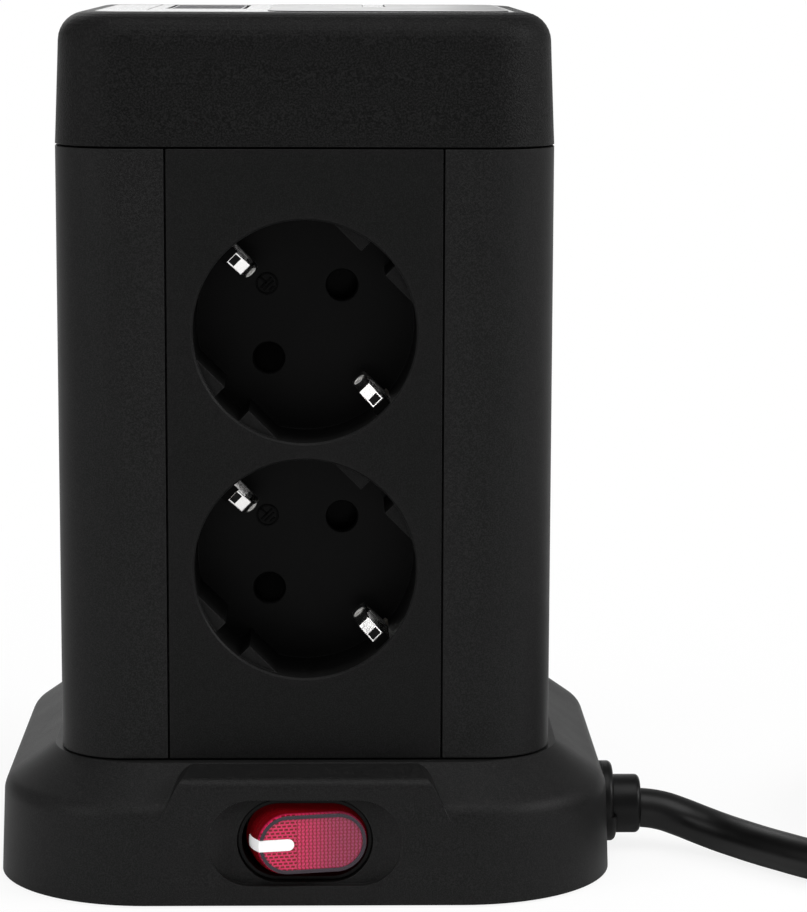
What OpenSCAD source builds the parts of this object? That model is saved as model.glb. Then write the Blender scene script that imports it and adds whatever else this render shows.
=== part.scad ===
// Tower power strip: a square column with two earthed sockets on each of its four
// sides, a wide foot with a lit rocker switch, a cap with charging ports and a cord.
// The origin is at the middle of the foot, on the floor. The switch faces -Y.

/* [Column] */
// Width across the flat sides of the column
tower_w = 89.5; // [88:0.5:94]
// Corner radius of the column
tower_r = 12.5; // [11:0.5:13.5]
// Height from the foot's seam to the cap's seam
tower_h = 110.6; // [109:0.2:120]
// Width of a socket panel
panel_w = 48.8; // [46:0.2:50]
// Thickness of a socket panel
panel_t = 2.2; // [1.8:0.1:2.6]
// Wall of the corner posts
post_wall = 2.5; // [2:0.1:2.8]
// Open line between neighbouring mouldings
seam = 0.4; // [0.2:0.1:0.6]

/* [Sockets] */
// Inner radius of a socket well
well_r = 19.9; // [19.5:0.1:20.2]
// Depth of a well from the panel's face to its floor
well_depth = 17.5; // [16.5:0.1:18]
// Wall round a well
well_wall = 1.6; // [1.5:0.1:1.8]
// Thickness of a well's floor
floor_t = 2; // [1.6:0.1:2.4]
// Distance between the two pin holes
pin_pitch = 19; // [18:0.5:20]
// Radius of a pin hole
pin_hole_r = 2.75; // [2.5:0.05:3.1]
// Turn of the pin row from level, in degrees
pin_tilt = 45; // [43:1:47]
// Lower socket's centre, as a share of the height that the pitch leaves free
socket_rise_share = 0.5168; // [0.5:0.0002:0.54]
// Distance between the two socket centres of one side
socket_pitch = 42.8; // [42.8:0.1:46]

/* [Foot] */
// Width of the foot at its lower edge
foot_w = 112.8; // [110:0.2:124]
// Corner radius of the foot
foot_r = 28; // [26:0.5:30]
// Height of the foot's seam above the floor
foot_h = 24; // [23.5:0.1:28]
// Gap between the housing's lower edge and the floor
foot_lift = 0.3; // [0.3:0.1:1.4]
// Wall of the foot's moulding
foot_wall = 2.4; // [2:0.1:2.8]
// Lean of the foot's side walls, in degrees
foot_draft = 2.2; // [1:0.1:3]
// Radius of the shoulder between side wall and slope
shoulder_r = 4; // [3:0.1:5]
// Height of the shoulder's centre
shoulder_z = 15.2; // [14:0.1:16]
// Width of the raised front where it meets the seam
rise_top_w = 43.6; // [40:0.2:46]
// Width of the raised front at its lower end
rise_foot_w = 49; // [47:0.2:52]

/* [Switch] */
// Width of the dished recess round the switch
dish_w = 34.8; // [32:0.1:38]
// Height of the dished recess
dish_h = 15.6; // [15.2:0.1:16.4]
// Depth of the dish at the switch
dish_depth = 1.8; // [1:0.1:2.2]
// Height of the switch's centre above the floor
switch_z = 11.6; // [11.4:0.1:12]
// Width of the rocker's face
key_w = 19.4; // [18:0.1:20]
// Height of the rocker's face
key_h = 10.6; // [10:0.1:11]
// Lean of the rocker to either side, in degrees
key_lean = 11; // [8:0.5:12]

/* [Cap] */
// Height of the cap above its seam
cap_h = 23.4; // [22:0.2:30]
// Radius of the cap's upper edge
cap_edge_r = 5.2; // [4:0.1:7]
// Lean of the cap's side walls, in degrees
cap_draft = 2.3; // [1:0.1:3]
// Wall of the cap
cap_wall = 2.5; // [2:0.1:3]
// Width of the loose lid in the cap's top
lid_w = 74.8; // [72:0.2:76]
// Thickness of the lid
lid_t = 2; // [1.8:0.1:2.4]
// Number of charging ports
port_count = 4; // [2:1:4]
// Distance between two ports
port_pitch = 9.6; // [9:0.1:10]

/* [Cord] */
// Outer diameter of the cord
cord_d = 7.5; // [6:0.1:7.6]
// Outer loop radius of the spare cord, at the cord's middle
coil_r = 53.7; // [50:0.1:60]
// Room from one loop to the next
coil_pitch = 8.1; // [8:0.05:9]
// Loops in each of the two layers
coil_loops = 3; // [2:1:4]

/* [Hidden] */
$fn = 64;
arc_steps = 8;

// Shared clearances and overruns
overrun = 1;
fit = 0.2;
run_fit = 0.05;

// Colours of the materials
shell_black = [0.11, 0.11, 0.115];
panel_black = [0.09, 0.09, 0.095];
rubber_black = [0.05, 0.05, 0.05];
steel = [0.75, 0.75, 0.77];
brass = [0.80, 0.65, 0.35];
lens_red = [0.90, 0.12, 0.25];

// Column, worked out
face = tower_w / 2;
tower_c = face - tower_r;
column_z = foot_h + seam;
column_len = tower_h - 2 * seam;
cap_z = foot_h + tower_h;
total_h = cap_z + cap_h;
lower_z = foot_h + socket_rise_share * (tower_h - socket_pitch);
upper_z = lower_z + socket_pitch;
middle_z = (lower_z + upper_z) / 2;
socket_heights = [lower_z, upper_z];

// Collar of the foot and skirt of the cap, which both stand inside the column
collar_out = face - post_wall - fit;
collar_t = 2;
collar_h = 3;
skirt_drop = 3;
skirt_up = 3.4;

// Corner posts
post_edge = panel_w / 2 + seam;
flange_t = 2;
flange_root = 2.4;
flange_in = well_r + well_wall + fit;
flange_face = face - panel_t - fit;
post_in = 13;
post_at = face - post_in;
boss_r = 4;
rib_t = 2;
screw_r = 1.5;
screw_hole_r = 1.6;
screw_head_r = 2.8;
screw_head_h = 2;
screw_len = 14;

// Well, from the panel's face inward
mouth_bevel = 0.35;
floor_back = well_depth + floor_t;
rib_chord = 17.2;
rib_start = 1.6;
keyway_w = 6.1;
slot_w = 3.4;
slot_start = 2.6;
pin_bevel = 0.3;
pivot_r = 1.5;
pin_x = pin_pitch / 2 * cos(pin_tilt);
pin_z = pin_pitch / 2 * sin(pin_tilt);

// Safety shutter behind a well's floor
shutter_gap = 0.3;
shutter_t = 1.6;
shutter_hub_r = 3.2;
wing_r = 3.75;
wing_bar_w = 4.4;
wing_slope = 10;
wing_lip = 0.5;

// Contact carrier, rails and earth strip, each set further in
carrier_d = floor_back + 2 * shutter_gap + shutter_t;
carrier_t = 2.2;
carrier_gap = 0.51;
carrier_half = face - carrier_d - carrier_t - carrier_gap;
carrier_end = 22;
standoff_r = 2;
standoff_at = 16.5;
rail_d = carrier_d + carrier_t;
rail_t = 0.8;
rail_w = 5;
rail_end = 4;
tulip_r = 3.2;
tulip_bore_r = 2.45;
tulip_l = 9.5;
tulip_slit = 1.2;
tulip_root = 2;
earth_gap = 1.3;
earth_d = rail_d + earth_gap;
earth_t = 0.8;
earth_bar_w = 4.4;
earth_bar_end = 2.2;
pad_w = 3;
pad_len = 5;
pad_off = 20;

// Earth clip: a bent strip, as shares of the well's radius and depth
clip_shares = [
    [0.985, 0.183], [0.764, 0.309], [0.732, 0.375], [0.705, 0.560], [0.688, 0.710],
    [0.694, 0.775], [0.730, 0.815], [0.785, 0.832], [1.000, 0.840]
];
clip_w = 2.4;
clip_t = 0.6;
leg_fit = 0.1;
leg_r = well_r + well_wall + leg_fit + clip_t / 2;
leg_x = leg_r * sin(pin_tilt);
leg_z = leg_r * cos(pin_tilt);
leg_slot = 0.3;

// Foot, worked out
foot_c = foot_w / 2 - foot_r;
foot_step = 1.6;
duct_w = 46;
shoulder = [foot_wall_at(shoulder_z) - shoulder_r / cos(foot_draft), shoulder_z];
crest = [face - foot_c + foot_step, foot_h];
slope_turn = tangent_turn(shoulder, shoulder_r, crest);
rise_low = shoulder_z - shoulder_r;
rise_foot_z = 18.5;
rise_drop = 0.8;
rise_edge_r = 2;
rise_corner_r = 4.3;
rise_lean = atan2((rise_foot_w - rise_top_w) / 2, foot_h - rise_foot_z);
plate_t = 2;
plate_gap = 0.3;
plate_top = foot_lift + plate_t;
foot_screw_in = 14.4;
foot_screw_x = foot_w / 2 - foot_screw_in;
foot_screw_y = 26;
foot_boss_r = 3.6;
foot_shank_r = 1.4;
foot_head_r = 2.6;
foot_head_h = 1;
pad_in = 15.4;
pad_at = foot_w / 2 - pad_in;
foot_pad_r = 6.5;
foot_pad_in = 1.2;

// Switch, worked out
mouth_end = 5.25;
mouth_edge = 0.25;
mouth_w = dish_w - 2 * mouth_end;
mouth_h = dish_h - 2 * mouth_edge;
backing_edge = 1.5;
bezel_wall = 0.65;
bezel_in = 3;
bezel_front = foot_w / 2 - bezel_in;
case_front = foot_w / 2 - foot_wall - dish_depth - fit;
case_w = 26;
case_h = 16;
case_len = 15;
case_wall = 1.2;
key_pivot_in = 7.57;
key_pivot_y = foot_w / 2 - key_pivot_in;
key_face = 7.3;
key_waist = 3.4;
key_root = 1;
key_flare = 0.85;
key_skin = 1.2;
key_ends = (key_w - key_h) / 2;
axle_r = 1.2;
axle_len = 1.1;
rim_w = 0.62;
rim_h = 0.25;
mark_h = 2.1;
mark_end = 4.45;
mark_t = 0.15;
mark_drop = 5;
lamp_r = 1.8;
lamp_len = 5;
blade_w = 4.8;
blade_t = 0.8;
blade_len = 7;
blade_step = 8;

// Cord outlet in the foot's right side
gland_y = 17;
cord_z = 7.6;
gland_inset = 0.3;
gland_face = foot_w / 2 - gland_inset;
gland_disc_r = 7.6;
gland_disc_z = 9;
gland_disc_t = 1.9;
gland_lip = 0.6;
collar_r = 5.55;
collar_z = 8.45;
gland_reach = 7.2;
gland_end = gland_face + gland_reach;
gland_edge = 1;
gland_neck_r = 5.3;
gland_inner_r = 7.2;
gland_inner_t = 1.6;
gland_in = foot_w / 2 - foot_wall - 3 * fit;
cord_fit = 0.1;
stub_reach = 18.4;
stub_in = foot_w / 2 - stub_reach;
clamp_reach = 10.2;
clamp_in = foot_w / 2 - clamp_reach;
clamp_len = 5;
clamp_w = 17;
clamp_top = 13;
clamp_gap = 0.3;
clamp_screw_y = 6.3;

// Cap, worked out
cap_edge = [cap_wall_at(total_h - cap_edge_r) - cap_edge_r / cos(cap_draft),
    total_h - cap_edge_r];
lid_gap = 0.15;
lid_r = 6.4;
lid_seat = 2.5;
lid_ledge = 3.9;
column_r = 4;
head_seat = 2.9;
head_bore_r = 3.1;
pocket_x = [-26, -11];
pocket_y = [-9.5, 29.5];
pocket_depth = 1.2;
port_x = -18.5;
port_y = -4.7;
port_l = 13.2;
port_w = 5.7;
port_wall = 0.4;
port_len = 13.2;
port_places = [for (i = [0 : port_count - 1]) port_y + i * port_pitch];
board_drop = port_len + pocket_depth - lid_t;
tongue_t = 1.8;
tongue_short = 3;
board_t = 1.6;
board_x = [-27, 14];
board_y = [-14, 33];
board_post_r = 2;
board_post_in = 2.5;
block_size = [16, 14, 9.6];
block_at = [-4, 4];
can_r = 4;
can_h = 8;
can_at = [-20, 20];
line_w = 0.4;
line_x = -28.7;
line_y = [-20, 35];
grip_x = [-6.5, 36.4];
grip_y = 36;
grip_slot_x = [10.7, 15.1];
grip_slot_y = 8;
grip_in = 0.8;
grip_out = 0.15;
grip_r = 5;

// Inner wires
wire_r = 1.2;
wire_loop = face - rail_d - rail_t - wire_r;
earth_loop = face - earth_d - earth_t - wire_r;
live_rise = 12;
live_z = foot_h + live_rise;
neutral_rise = 20.2;
neutral_z = upper_z + neutral_rise;
earth_rise = 2.4;
earth_z = lower_z - leg_z + earth_rise;
wire_bend = 3;
wire_open = 3;
riser = 5;
core_step = 2.45;

// Plug at the cord's far end
plug_neck_r = [4.6, 7];
plug_neck_l = 30;
plug_back_r = 20;
plug_back_h = 15;
plug_front_r = 18.5;
plug_h = 34;
plug_edge = 3;
plug_at = 48;
plug_pin_r = 2.4;
plug_pin_l = 19;
plug_groove_w = 7;
plug_groove_t = 3;
plug_groove_h = 15;
plug_contact_w = 5.5;
plug_contact_t = 0.9;

// Cord: from the outlet to the spare loops, and from the loops to the plug
cord_r = cord_d / 2;
coil_at = [162, -2];
lead_route = [
    [56.4, -17, 7.6], [63.3, -17, 7.6], [67.4, -17.3, 7.1], [71.2, -18.5, 6.1], [74.8, -20.5, 5.1],
    [78.4, -23.1, 4.3], [81.8, -26.4, 3.9], [85.4, -30.7, 3.75], [88.8, -34.8, 3.75],
    [92.2, -38.8, 3.75], [96.5, -43.2, 3.75], [102.5, -47.8, 3.75], [110.5, -51.8, 3.75],
    [120.5, -54.5, 3.75], [133, -55.6, 3.75], [144, -55.7, 3.75], [154.5, -55.7, 3.75]
];
tail_route = [
    [169.5, -55.7, 11.85], [176, -56.1, 11.5], [184, -57, 10], [193, -56.9, 7.9],
    [203, -54, 5.6], [212, -48.5, 4.2], [220, -39.5, 3.75], [226, -28, 3.75],
    [229.5, -15, 4], [230.5, -4, 5.4], [230.5, 6, 7], [230.5, 16, 7.2]
];
tube_sides = 10;
coil_sides = 6;
coil_rings = 24;

// Shared functions

function arc(c, r, a0, a1) = [
    for (i = [0:arc_steps])
        let (a = a0 + (a1 - a0) * i / arc_steps)
            [c[0] + r * cos(a), c[1] + r * sin(a)]
];

function tangent_turn(c, r, p) = atan2(p[1] - c[1], p[0] - c[0]) - acos(r / norm(p - c));

function foot_wall_at(z) = foot_r - tan(foot_draft) * (z - foot_lift);

function cap_wall_at(z) = tower_r - tan(cap_draft) * (z - cap_z);

// Solids with a rounded square plan. The outline's first figure is its distance
// outward from the line that joins the corner centres, the second its height.
module rounded_block(c, outline, z0, z1) {
    for (i = [0:3]) on_side(i) {
        translate([c, -c, 0]) rotate_extrude() polygon(outline);
        translate([c, -c, 0]) rotate([90, 0, -90]) linear_extrude(2 * c) polygon(outline);
    }
    translate([-c, -c, z0]) cube([2 * c, 2 * c, z1 - z0]);
}

// Side 0 faces -Y, 1 faces +X, 2 faces +Y and 3 faces -X
module on_side(i) {
    rotate([0, 0, 90 * i]) children();
}

// Socket axes: x runs along the pin row, y towards a clip and z inward from the face
module at_socket(z) {
    translate([0, -face, z]) rotate([-90, 0, 0]) rotate([0, 0, -pin_tilt]) children();
}

module along_x(x0, x1) {
    translate([x0, 0, 0]) rotate([90, 0, 90]) linear_extrude(x1 - x0) children();
}

module along_y(y0, y1) {
    translate([0, y1, 0]) rotate([90, 0, 0]) linear_extrude(y1 - y0) children();
}

module along_z(z0, z1) {
    translate([0, 0, z0]) linear_extrude(z1 - z0) children();
}

module box(low, high) {
    translate(low) cube(high - low);
}

module round_square(half, r) {
    square([2 * half, 2 * (half - r)], center = true);
    square([2 * (half - r), 2 * half], center = true);
    for (x = [-1, 1], y = [-1, 1]) translate([x * (half - r), y * (half - r)]) circle(r);
}

module round_rect(low, high, r) {
    translate([low[0] + r, low[1]]) square([high[0] - low[0] - 2 * r, high[1] - low[1]]);
    translate([low[0], low[1] + r]) square([high[0] - low[0], high[1] - low[1] - 2 * r]);
    for (x = [low[0] + r, high[0] - r], y = [low[1] + r, high[1] - r])
        translate([x, y]) circle(r);
}

module pill(w, h) {
    square([w - h, h], center = true);
    for (x = [-1, 1]) translate([x * (w - h) / 2, 0]) circle(h / 2);
}

// A long form with round ends: the outline gives its radius at each height
module long_form(reach, outline) {
    for (x = [-1, 1]) translate([x * reach, 0, 0]) rotate_extrude() polygon(outline);
    for (turn = [0, 180])
        rotate([0, 0, turn])
            translate([-reach, 0, 0]) rotate([90, 0, 90]) linear_extrude(2 * reach)
                polygon(outline);
}

// A bent strip as an outline: the middle line, thickened by half of t to each side
function ribbon(p, t) =
    let (
        n = len(p),
        side = [
            for (i = [0 : n - 1])
                let (
                    a = unit(p[i] - p[max(i - 1, 0)] + (i == 0 ? p[1] - p[0] : [0, 0])),
                    b = unit(p[min(i + 1, n - 1)] - p[i]
                        + (i == n - 1 ? p[i] - p[i - 1] : [0, 0])),
                    m = unit(a + b)
                )
                    [-m[1], m[0]] / (m * a)
        ]
    )
        concat(
            [for (i = [0 : n - 1]) p[i] + side[i] * t / 2],
            [for (i = [n - 1 : -1 : 0]) p[i] - side[i] * t / 2]
        );

function unit(v) = v / norm(v);

// A round tube along points; its ends stand square to the given directions
module tube(path, r, sides, start, end) {
    n = len(path);
    heading = [
        for (i = [0 : n - 1])
            i == 0 ? start : i == n - 1 ? end : unit(path[i + 1] - path[i - 1])
    ];
    across = [
        for (i = 0, a = unit(cross([0, 0.1, 1], start)); i < n; i = i + 1,
            a = i < n ? unit(a - (a * heading[i]) * heading[i]) : a) a
    ];
    ring = [
        for (i = [0 : n - 1], k = [0 : sides - 1])
            path[i] + r * (cos(360 * k / sides) * across[i]
                + sin(360 * k / sides) * cross(heading[i], across[i]))
    ];
    walls = [
        for (i = [0 : n - 2], k = [0 : sides - 1])
            let (a = i * sides + k, b = i * sides + (k + 1) % sides)
                each [[a, a + sides, b + sides], [a, b + sides, b]]
    ];
    caps = [
        for (k = [1 : sides - 2])
            each [
                [0, k, k + 1],
                [(n - 1) * sides, (n - 1) * sides + k + 1, (n - 1) * sides + k]
            ]
    ];
    polyhedron(ring, concat(walls, caps));
}

// Foot

function foot_outline(t, z0) = concat(
    [[0, z0], [foot_wall_at(z0) - t / cos(foot_draft), z0]],
    arc(shoulder, shoulder_r - t, foot_draft, slope_turn),
    [
        [
            (shoulder * turned(slope_turn) + shoulder_r - t
                - (foot_h - t) * sin(slope_turn)) / cos(slope_turn),
            foot_h - t
        ],
        [0, foot_h - t]
    ]
);

function turned(a) = [cos(a), sin(a)];

function rise_front_at(z, t) = -foot_c - foot_wall_at(z) + t / cos(foot_draft);

// Raised front of the foot: its side view, cut to its front view
module front_rise(t) {
    edge_r = max(rise_edge_r - t, rise_edge_r / 10);
    edge_z = foot_h - rise_drop - t - edge_r;
    edge_y = rise_front_at(edge_z, t) + edge_r;
    corner_z = foot_h - rise_corner_r;
    side = turned(rise_lean);
    corner_x = ([rise_foot_w / 2, rise_foot_z] * side - rise_corner_r
        - corner_z * side[1]) / side[0];
    low_x = ([rise_foot_w / 2, rise_foot_z] * side - t - rise_low * side[1]) / side[0];
    intersection() {
        along_x(-foot_c, foot_c) polygon(concat(
            [
                [-face + post_wall + collar_t, rise_low],
                [-face + post_wall + collar_t, foot_h - t],
                [-face, foot_h - t]
            ],
            arc([edge_y, edge_z], edge_r, 90, 180 - foot_draft),
            [[rise_front_at(rise_low, t), rise_low]]
        ));
        along_y(-foot_w, 0) polygon(concat(
            [[-low_x, rise_low], [low_x, rise_low]],
            arc([corner_x, corner_z], rise_corner_r - t, rise_lean, 90),
            arc([-corner_x, corner_z], rise_corner_r - t, 90, 180 - rise_lean)
        ));
    }
}

// Dish round the switch: a pill whose floor falls away from both ends to the switch
module switch_dish() {
    half = dish_w / 2;
    reach = half - mouth_w / 2;
    floor_line = [
        for (i = [0:arc_steps])
            [-half + reach * i / arc_steps,
                (dish_depth + run_fit) * sin(90 * i / arc_steps) - run_fit]
    ];
    translate([0, rise_front_at(switch_z, 0), switch_z]) rotate([-foot_draft, 0, 0])
        intersection() {
            along_y(-overrun, 2 * dish_depth) pill(dish_w, dish_h);
            along_z(-foot_h, foot_h) polygon(concat(
                [[-half - overrun, -overrun]],
                floor_line,
                [for (i = [arc_steps : -1 : 0]) [-floor_line[i][0], floor_line[i][1]]],
                [[half + overrun, -overrun]]
            ));
        }
}

module base_housing() {
    color(shell_black) difference() {
        union() {
            difference() {
                union() {
                    rounded_block(foot_c, foot_outline(0, foot_lift), foot_lift, foot_h);
                    front_rise(0);
                }
                difference() {
                    union() {
                        rounded_block(foot_c, foot_outline(foot_wall, foot_lift - overrun),
                            foot_lift - overrun, foot_h - foot_wall);
                        front_rise(foot_wall);
                    }
                    switch_backing();
                    foot_bosses();
                }
            }
            along_z(foot_h - foot_wall, foot_h + collar_h) difference() {
                round_square(collar_out, tower_r - face + collar_out);
                round_square(collar_out - collar_t, tower_r - face + collar_out - collar_t);
            }
            along_x(gland_face - foot_wall, gland_face)
                translate([-gland_y, gland_disc_z]) circle(gland_disc_r);
        }
        switch_dish();
        translate([0, 0, switch_z])
            along_y(-foot_w / 2, -case_front + overrun) pill(mouth_w, mouth_h);
        along_x(gland_face, foot_w / 2 + overrun)
            translate([-gland_y, gland_disc_z]) circle(gland_disc_r + fit);
        along_x(foot_c, foot_w / 2 + overrun)
            translate([-gland_y, collar_z]) circle(gland_neck_r + cord_fit);
        along_z(foot_h - foot_wall - overrun, foot_h + overrun)
            round_square(duct_w / 2, foot_wall);
        for (x = [-1, 1], y = [-1, 1]) {
            translate([x * post_at, y * post_at, foot_h - foot_wall - overrun])
                cylinder(r = screw_hole_r, h = foot_wall + 2 * overrun);
            translate([x * foot_screw_x, y * foot_screw_y, foot_lift - overrun])
                cylinder(r = foot_shank_r + cord_fit, h = screw_len + overrun);
        }
    }
}

module switch_backing() {
    intersection() {
        translate([0, 0, switch_z])
            along_y(-foot_w / 2, -case_front - fit)
                pill(dish_w + 2 * backing_edge, dish_h + 2 * backing_edge);
        box([-foot_w, -foot_w, plate_top + plate_gap], [foot_w, 0, foot_h]);
    }
}

module foot_bosses() {
    for (x = [-1, 1], y = [-1, 1])
        translate([x * foot_screw_x, y * foot_screw_y, plate_top])
            cylinder(r = foot_boss_r, h = foot_h - plate_top);
}

module base_plate() {
    saddle_y = gland_y - clamp_w / 2;
    color(shell_black) difference() {
        union() {
            along_z(foot_lift, plate_top) round_square(
                foot_w / 2 - foot_wall - plate_gap, foot_r - foot_wall - plate_gap);
            box([clamp_in, -saddle_y - clamp_w, foot_lift],
                [clamp_in + clamp_len, -saddle_y, cord_z - clamp_gap / 2]);
        }
        cord_bore();
        clamp_bores(plate_top);
        for (x = [-1, 1], y = [-1, 1]) {
            translate([x * pad_at, y * pad_at, foot_lift - overrun])
                cylinder(r = foot_pad_r + fit, h = foot_pad_in + overrun);
            translate([x * foot_screw_x, y * foot_screw_y, foot_lift - overrun]) {
                cylinder(r = foot_shank_r + cord_fit, h = plate_t + 2 * overrun);
                cylinder(r = foot_head_r + fit, h = foot_head_h + fit + overrun);
            }
        }
    }
}

module cord_bore() {
    along_x(stub_in, gland_end + overrun)
        translate([-gland_y, cord_z]) circle(cord_r + cord_fit);
}

module clamp_bores(z) {
    for (side = [-1, 1])
        translate([clamp_in + clamp_len / 2, -gland_y + side * clamp_screw_y, z])
            cylinder(r = foot_shank_r + cord_fit, h = clamp_top);
}

module rubber_feet() {
    color(rubber_black) for (x = [-1, 1], y = [-1, 1])
        translate([x * pad_at, y * pad_at, 0])
            cylinder(r = foot_pad_r, h = foot_lift + foot_pad_in);
}

module base_screws() {
    color(steel) for (x = [-1, 1], y = [-1, 1])
        translate([x * foot_screw_x, y * foot_screw_y, foot_lift + fit]) {
            cylinder(r = foot_head_r, h = foot_head_h);
            cylinder(r = foot_shank_r, h = screw_len - 2 * overrun);
        }
}

module cord_clamp() {
    color(shell_black) difference() {
        box([clamp_in, -gland_y - clamp_w / 2, cord_z + clamp_gap / 2],
            [clamp_in + clamp_len, -gland_y + clamp_w / 2, clamp_top]);
        cord_bore();
        clamp_bores(plate_top);
    }
}

module clamp_screws() {
    color(steel) for (side = [-1, 1])
        translate([clamp_in + clamp_len / 2, -gland_y + side * clamp_screw_y, 0]) {
            translate([0, 0, plate_top]) cylinder(r = foot_shank_r, h = clamp_top - plate_top);
            translate([0, 0, clamp_top]) cylinder(r = clamp_len / 2, h = foot_head_h);
        }
}

// Cord outlet: two halves that meet at the cord's middle

module gland_form(lip) {
    gland_turn(gland_disc_z, gland_disc_r, gland_face + gland_disc_t + lip);
    gland_turn(collar_z, collar_r, gland_end);
    along_x(gland_in - gland_inner_t, gland_face + overrun)
        translate([-gland_y, collar_z]) circle(gland_neck_r);
    along_x(gland_in - gland_inner_t, gland_in) intersection() {
        translate([-gland_y, collar_z]) circle(gland_inner_r);
        translate([-foot_w, plate_top + fit]) square(foot_w);
    }
}

module gland_turn(z, r, end) {
    translate([0, -gland_y, z]) rotate([0, 90, 0]) rotate_extrude() polygon(concat(
        [[0, gland_face], [r, gland_face]],
        arc([r - gland_edge, end - gland_edge], gland_edge, 0, 90),
        [[0, end]]
    ));
}

module gland_upper() {
    color(rubber_black) difference() {
        gland_form(0);
        cord_bore();
        box([0, -foot_w, -foot_h], [foot_w, foot_w, cord_z]);
    }
}

module gland_lower() {
    color(rubber_black) difference() {
        gland_form(gland_lip);
        cord_bore();
        box([0, -foot_w, cord_z], [foot_w, foot_w, foot_h]);
    }
}

// Switch

module at_switch() {
    translate([0, 0, switch_z]) children();
}

// Rocker axes: z points out of its face and x along it
module at_rocker() {
    translate([0, -key_pivot_y, switch_z]) rotate([90, 0, key_lean]) children();
}

module switch_case() {
    color(rubber_black) at_switch() difference() {
        union() {
            along_y(-bezel_front, -case_front) pill(mouth_w - 2 * fit, mouth_h - 2 * fit);
            along_y(-case_front, -case_front + case_len)
                square([case_w, case_h], center = true);
        }
        along_y(-bezel_front - overrun, -case_front + case_len - case_wall)
            pill(mouth_w - 2 * fit - 2 * bezel_wall, mouth_h - 2 * fit - 2 * bezel_wall);
        translate([0, -key_pivot_y, -case_h / 2 + case_wall / 2])
            cylinder(r = axle_r + run_fit, h = case_h - case_wall);
        for (x = [-1, 0, 1])
            translate([x * blade_step, -case_front + case_len - case_wall, 0])
                cube([blade_t, 2 * case_wall + overrun, blade_w], center = true);
    }
}

module switch_terminals() {
    color(brass) at_switch() for (x = [-1, 0, 1])
        translate([x * blade_step, -case_front + case_len - case_wall, 0])
            box([-blade_t / 2, 0, -blade_w / 2], [blade_t / 2, blade_len, blade_w / 2]);
}

function rocker_outline(t) = let (
    face_r = key_h / 2 + t,
    root_r = face_r + key_flare,
    rise = key_face - key_waist
) concat(
    [[0, -key_root], [root_r, -key_root], [root_r, key_waist]],
    [
        for (i = [1:arc_steps])
            [face_r + key_flare * cos(90 * i / arc_steps),
                key_waist + (rise + t) * i / arc_steps]
    ],
    [[0, key_face + t]]
);

module rocker_body() {
    color(lens_red) at_rocker() {
        difference() {
            long_form(key_ends, rocker_outline(0));
            long_form(key_ends, [
                [0, -key_root - overrun], [key_h / 2 - key_skin / 2, -key_root - overrun],
                [key_h / 2 - key_skin / 2, key_waist], [key_h / 2 - key_skin, key_face - key_skin],
                [0, key_face - key_skin]
            ]);
        }
        for (side = [-1, 1])
            rotate([90 * side, 0, 0])
                translate([0, 0, key_h / 2]) cylinder(r = axle_r, h = key_flare + axle_len);
    }
}

module rocker_rim() {
    color(rubber_black) at_rocker() difference() {
        along_z(key_face, key_face + rim_h) pill(key_w, key_h);
        along_z(0, 2 * key_face) pill(key_w - 2 * rim_w, key_h - 2 * rim_w);
        box([-key_w, -mark_h / 2 - run_fit, 0], [0, mark_h / 2 + run_fit, 2 * key_face]);
    }
}

module rocker_mark() {
    color("white") at_rocker() intersection() {
        difference() {
            long_form(key_ends, rocker_outline(mark_t));
            long_form(key_ends, rocker_outline(0));
        }
        along_z(key_face - mark_drop + mark_t, 2 * key_face) {
            translate([-key_w, -mark_h / 2]) square([key_w - mark_end, mark_h]);
            translate([-mark_end, 0]) circle(mark_h / 2);
        }
    }
}

module indicator_lamp() {
    color("orange") at_switch() translate([0, -case_front + case_len - case_wall, 0])
        rotate([90, 0, 0]) translate([key_h / 4, 0, 0]) cylinder(r = lamp_r, h = lamp_len);
}

// Column

module corner_post(i) {
    low = foot_h + collar_h + fit;
    high = cap_z - skirt_drop - fit;
    color(shell_black) on_side(i) difference() {
        union() {
            along_z(column_z, column_z + column_len) intersection() {
                difference() {
                    round_square(face, tower_r);
                    round_square(face - post_wall, tower_r - post_wall);
                }
                translate([post_edge, -face]) square(face - post_edge);
            }
            along_z(low, high) for (m = [0, 1]) mirror([m, m, 0]) {
                translate([flange_in, -flange_face])
                    square([post_edge + flange_root - flange_in, flange_t]);
                translate([post_at, -post_at - rib_t / 2])
                    square([face - post_wall / 2 - post_at, rib_t]);
            }
            along_z(foot_h + fit, cap_z - fit)
                translate([post_at, -post_at]) circle(boss_r);
        }
        translate([post_at, -post_at, 0]) cylinder(r = screw_hole_r, h = total_h);
    }
}

module side_panel(i) {
    color(panel_black) on_side(i) {
        difference() {
            union() {
                along_y(-face, -face + panel_t)
                    translate([-panel_w / 2, column_z]) square([panel_w, column_len]);
                for (z = socket_heights) at_socket(z)
                    along_z(panel_t / 2, floor_back) circle(well_r + well_wall);
            }
            for (z = socket_heights) at_socket(z) well_cuts();
        }
        for (z = socket_heights) at_socket(z) {
            well_ribs();
            along_z(floor_back - floor_t / 2, carrier_d - cord_fit) circle(pivot_r);
        }
    }
}

module well_cuts() {
    along_z(-overrun, well_depth) circle(well_r);
    translate([0, 0, -overrun])
        cylinder(r1 = well_r + mouth_bevel + overrun, r2 = well_r, h = mouth_bevel + overrun);
    for (turn = [0, 180]) rotate([0, 0, turn]) {
        translate([pin_pitch / 2, 0, 0]) cylinder(r = pin_hole_r, h = 2 * well_depth);
        translate([pin_pitch / 2, 0, well_depth - overrun])
            cylinder(r1 = pin_hole_r + pin_bevel + overrun, r2 = pin_hole_r,
                h = pin_bevel + overrun);
        box([-slot_w / 2, well_r - well_wall / 2, slot_start],
            [slot_w / 2, well_r + well_wall + overrun, floor_back + overrun]);
    }
}

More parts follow.
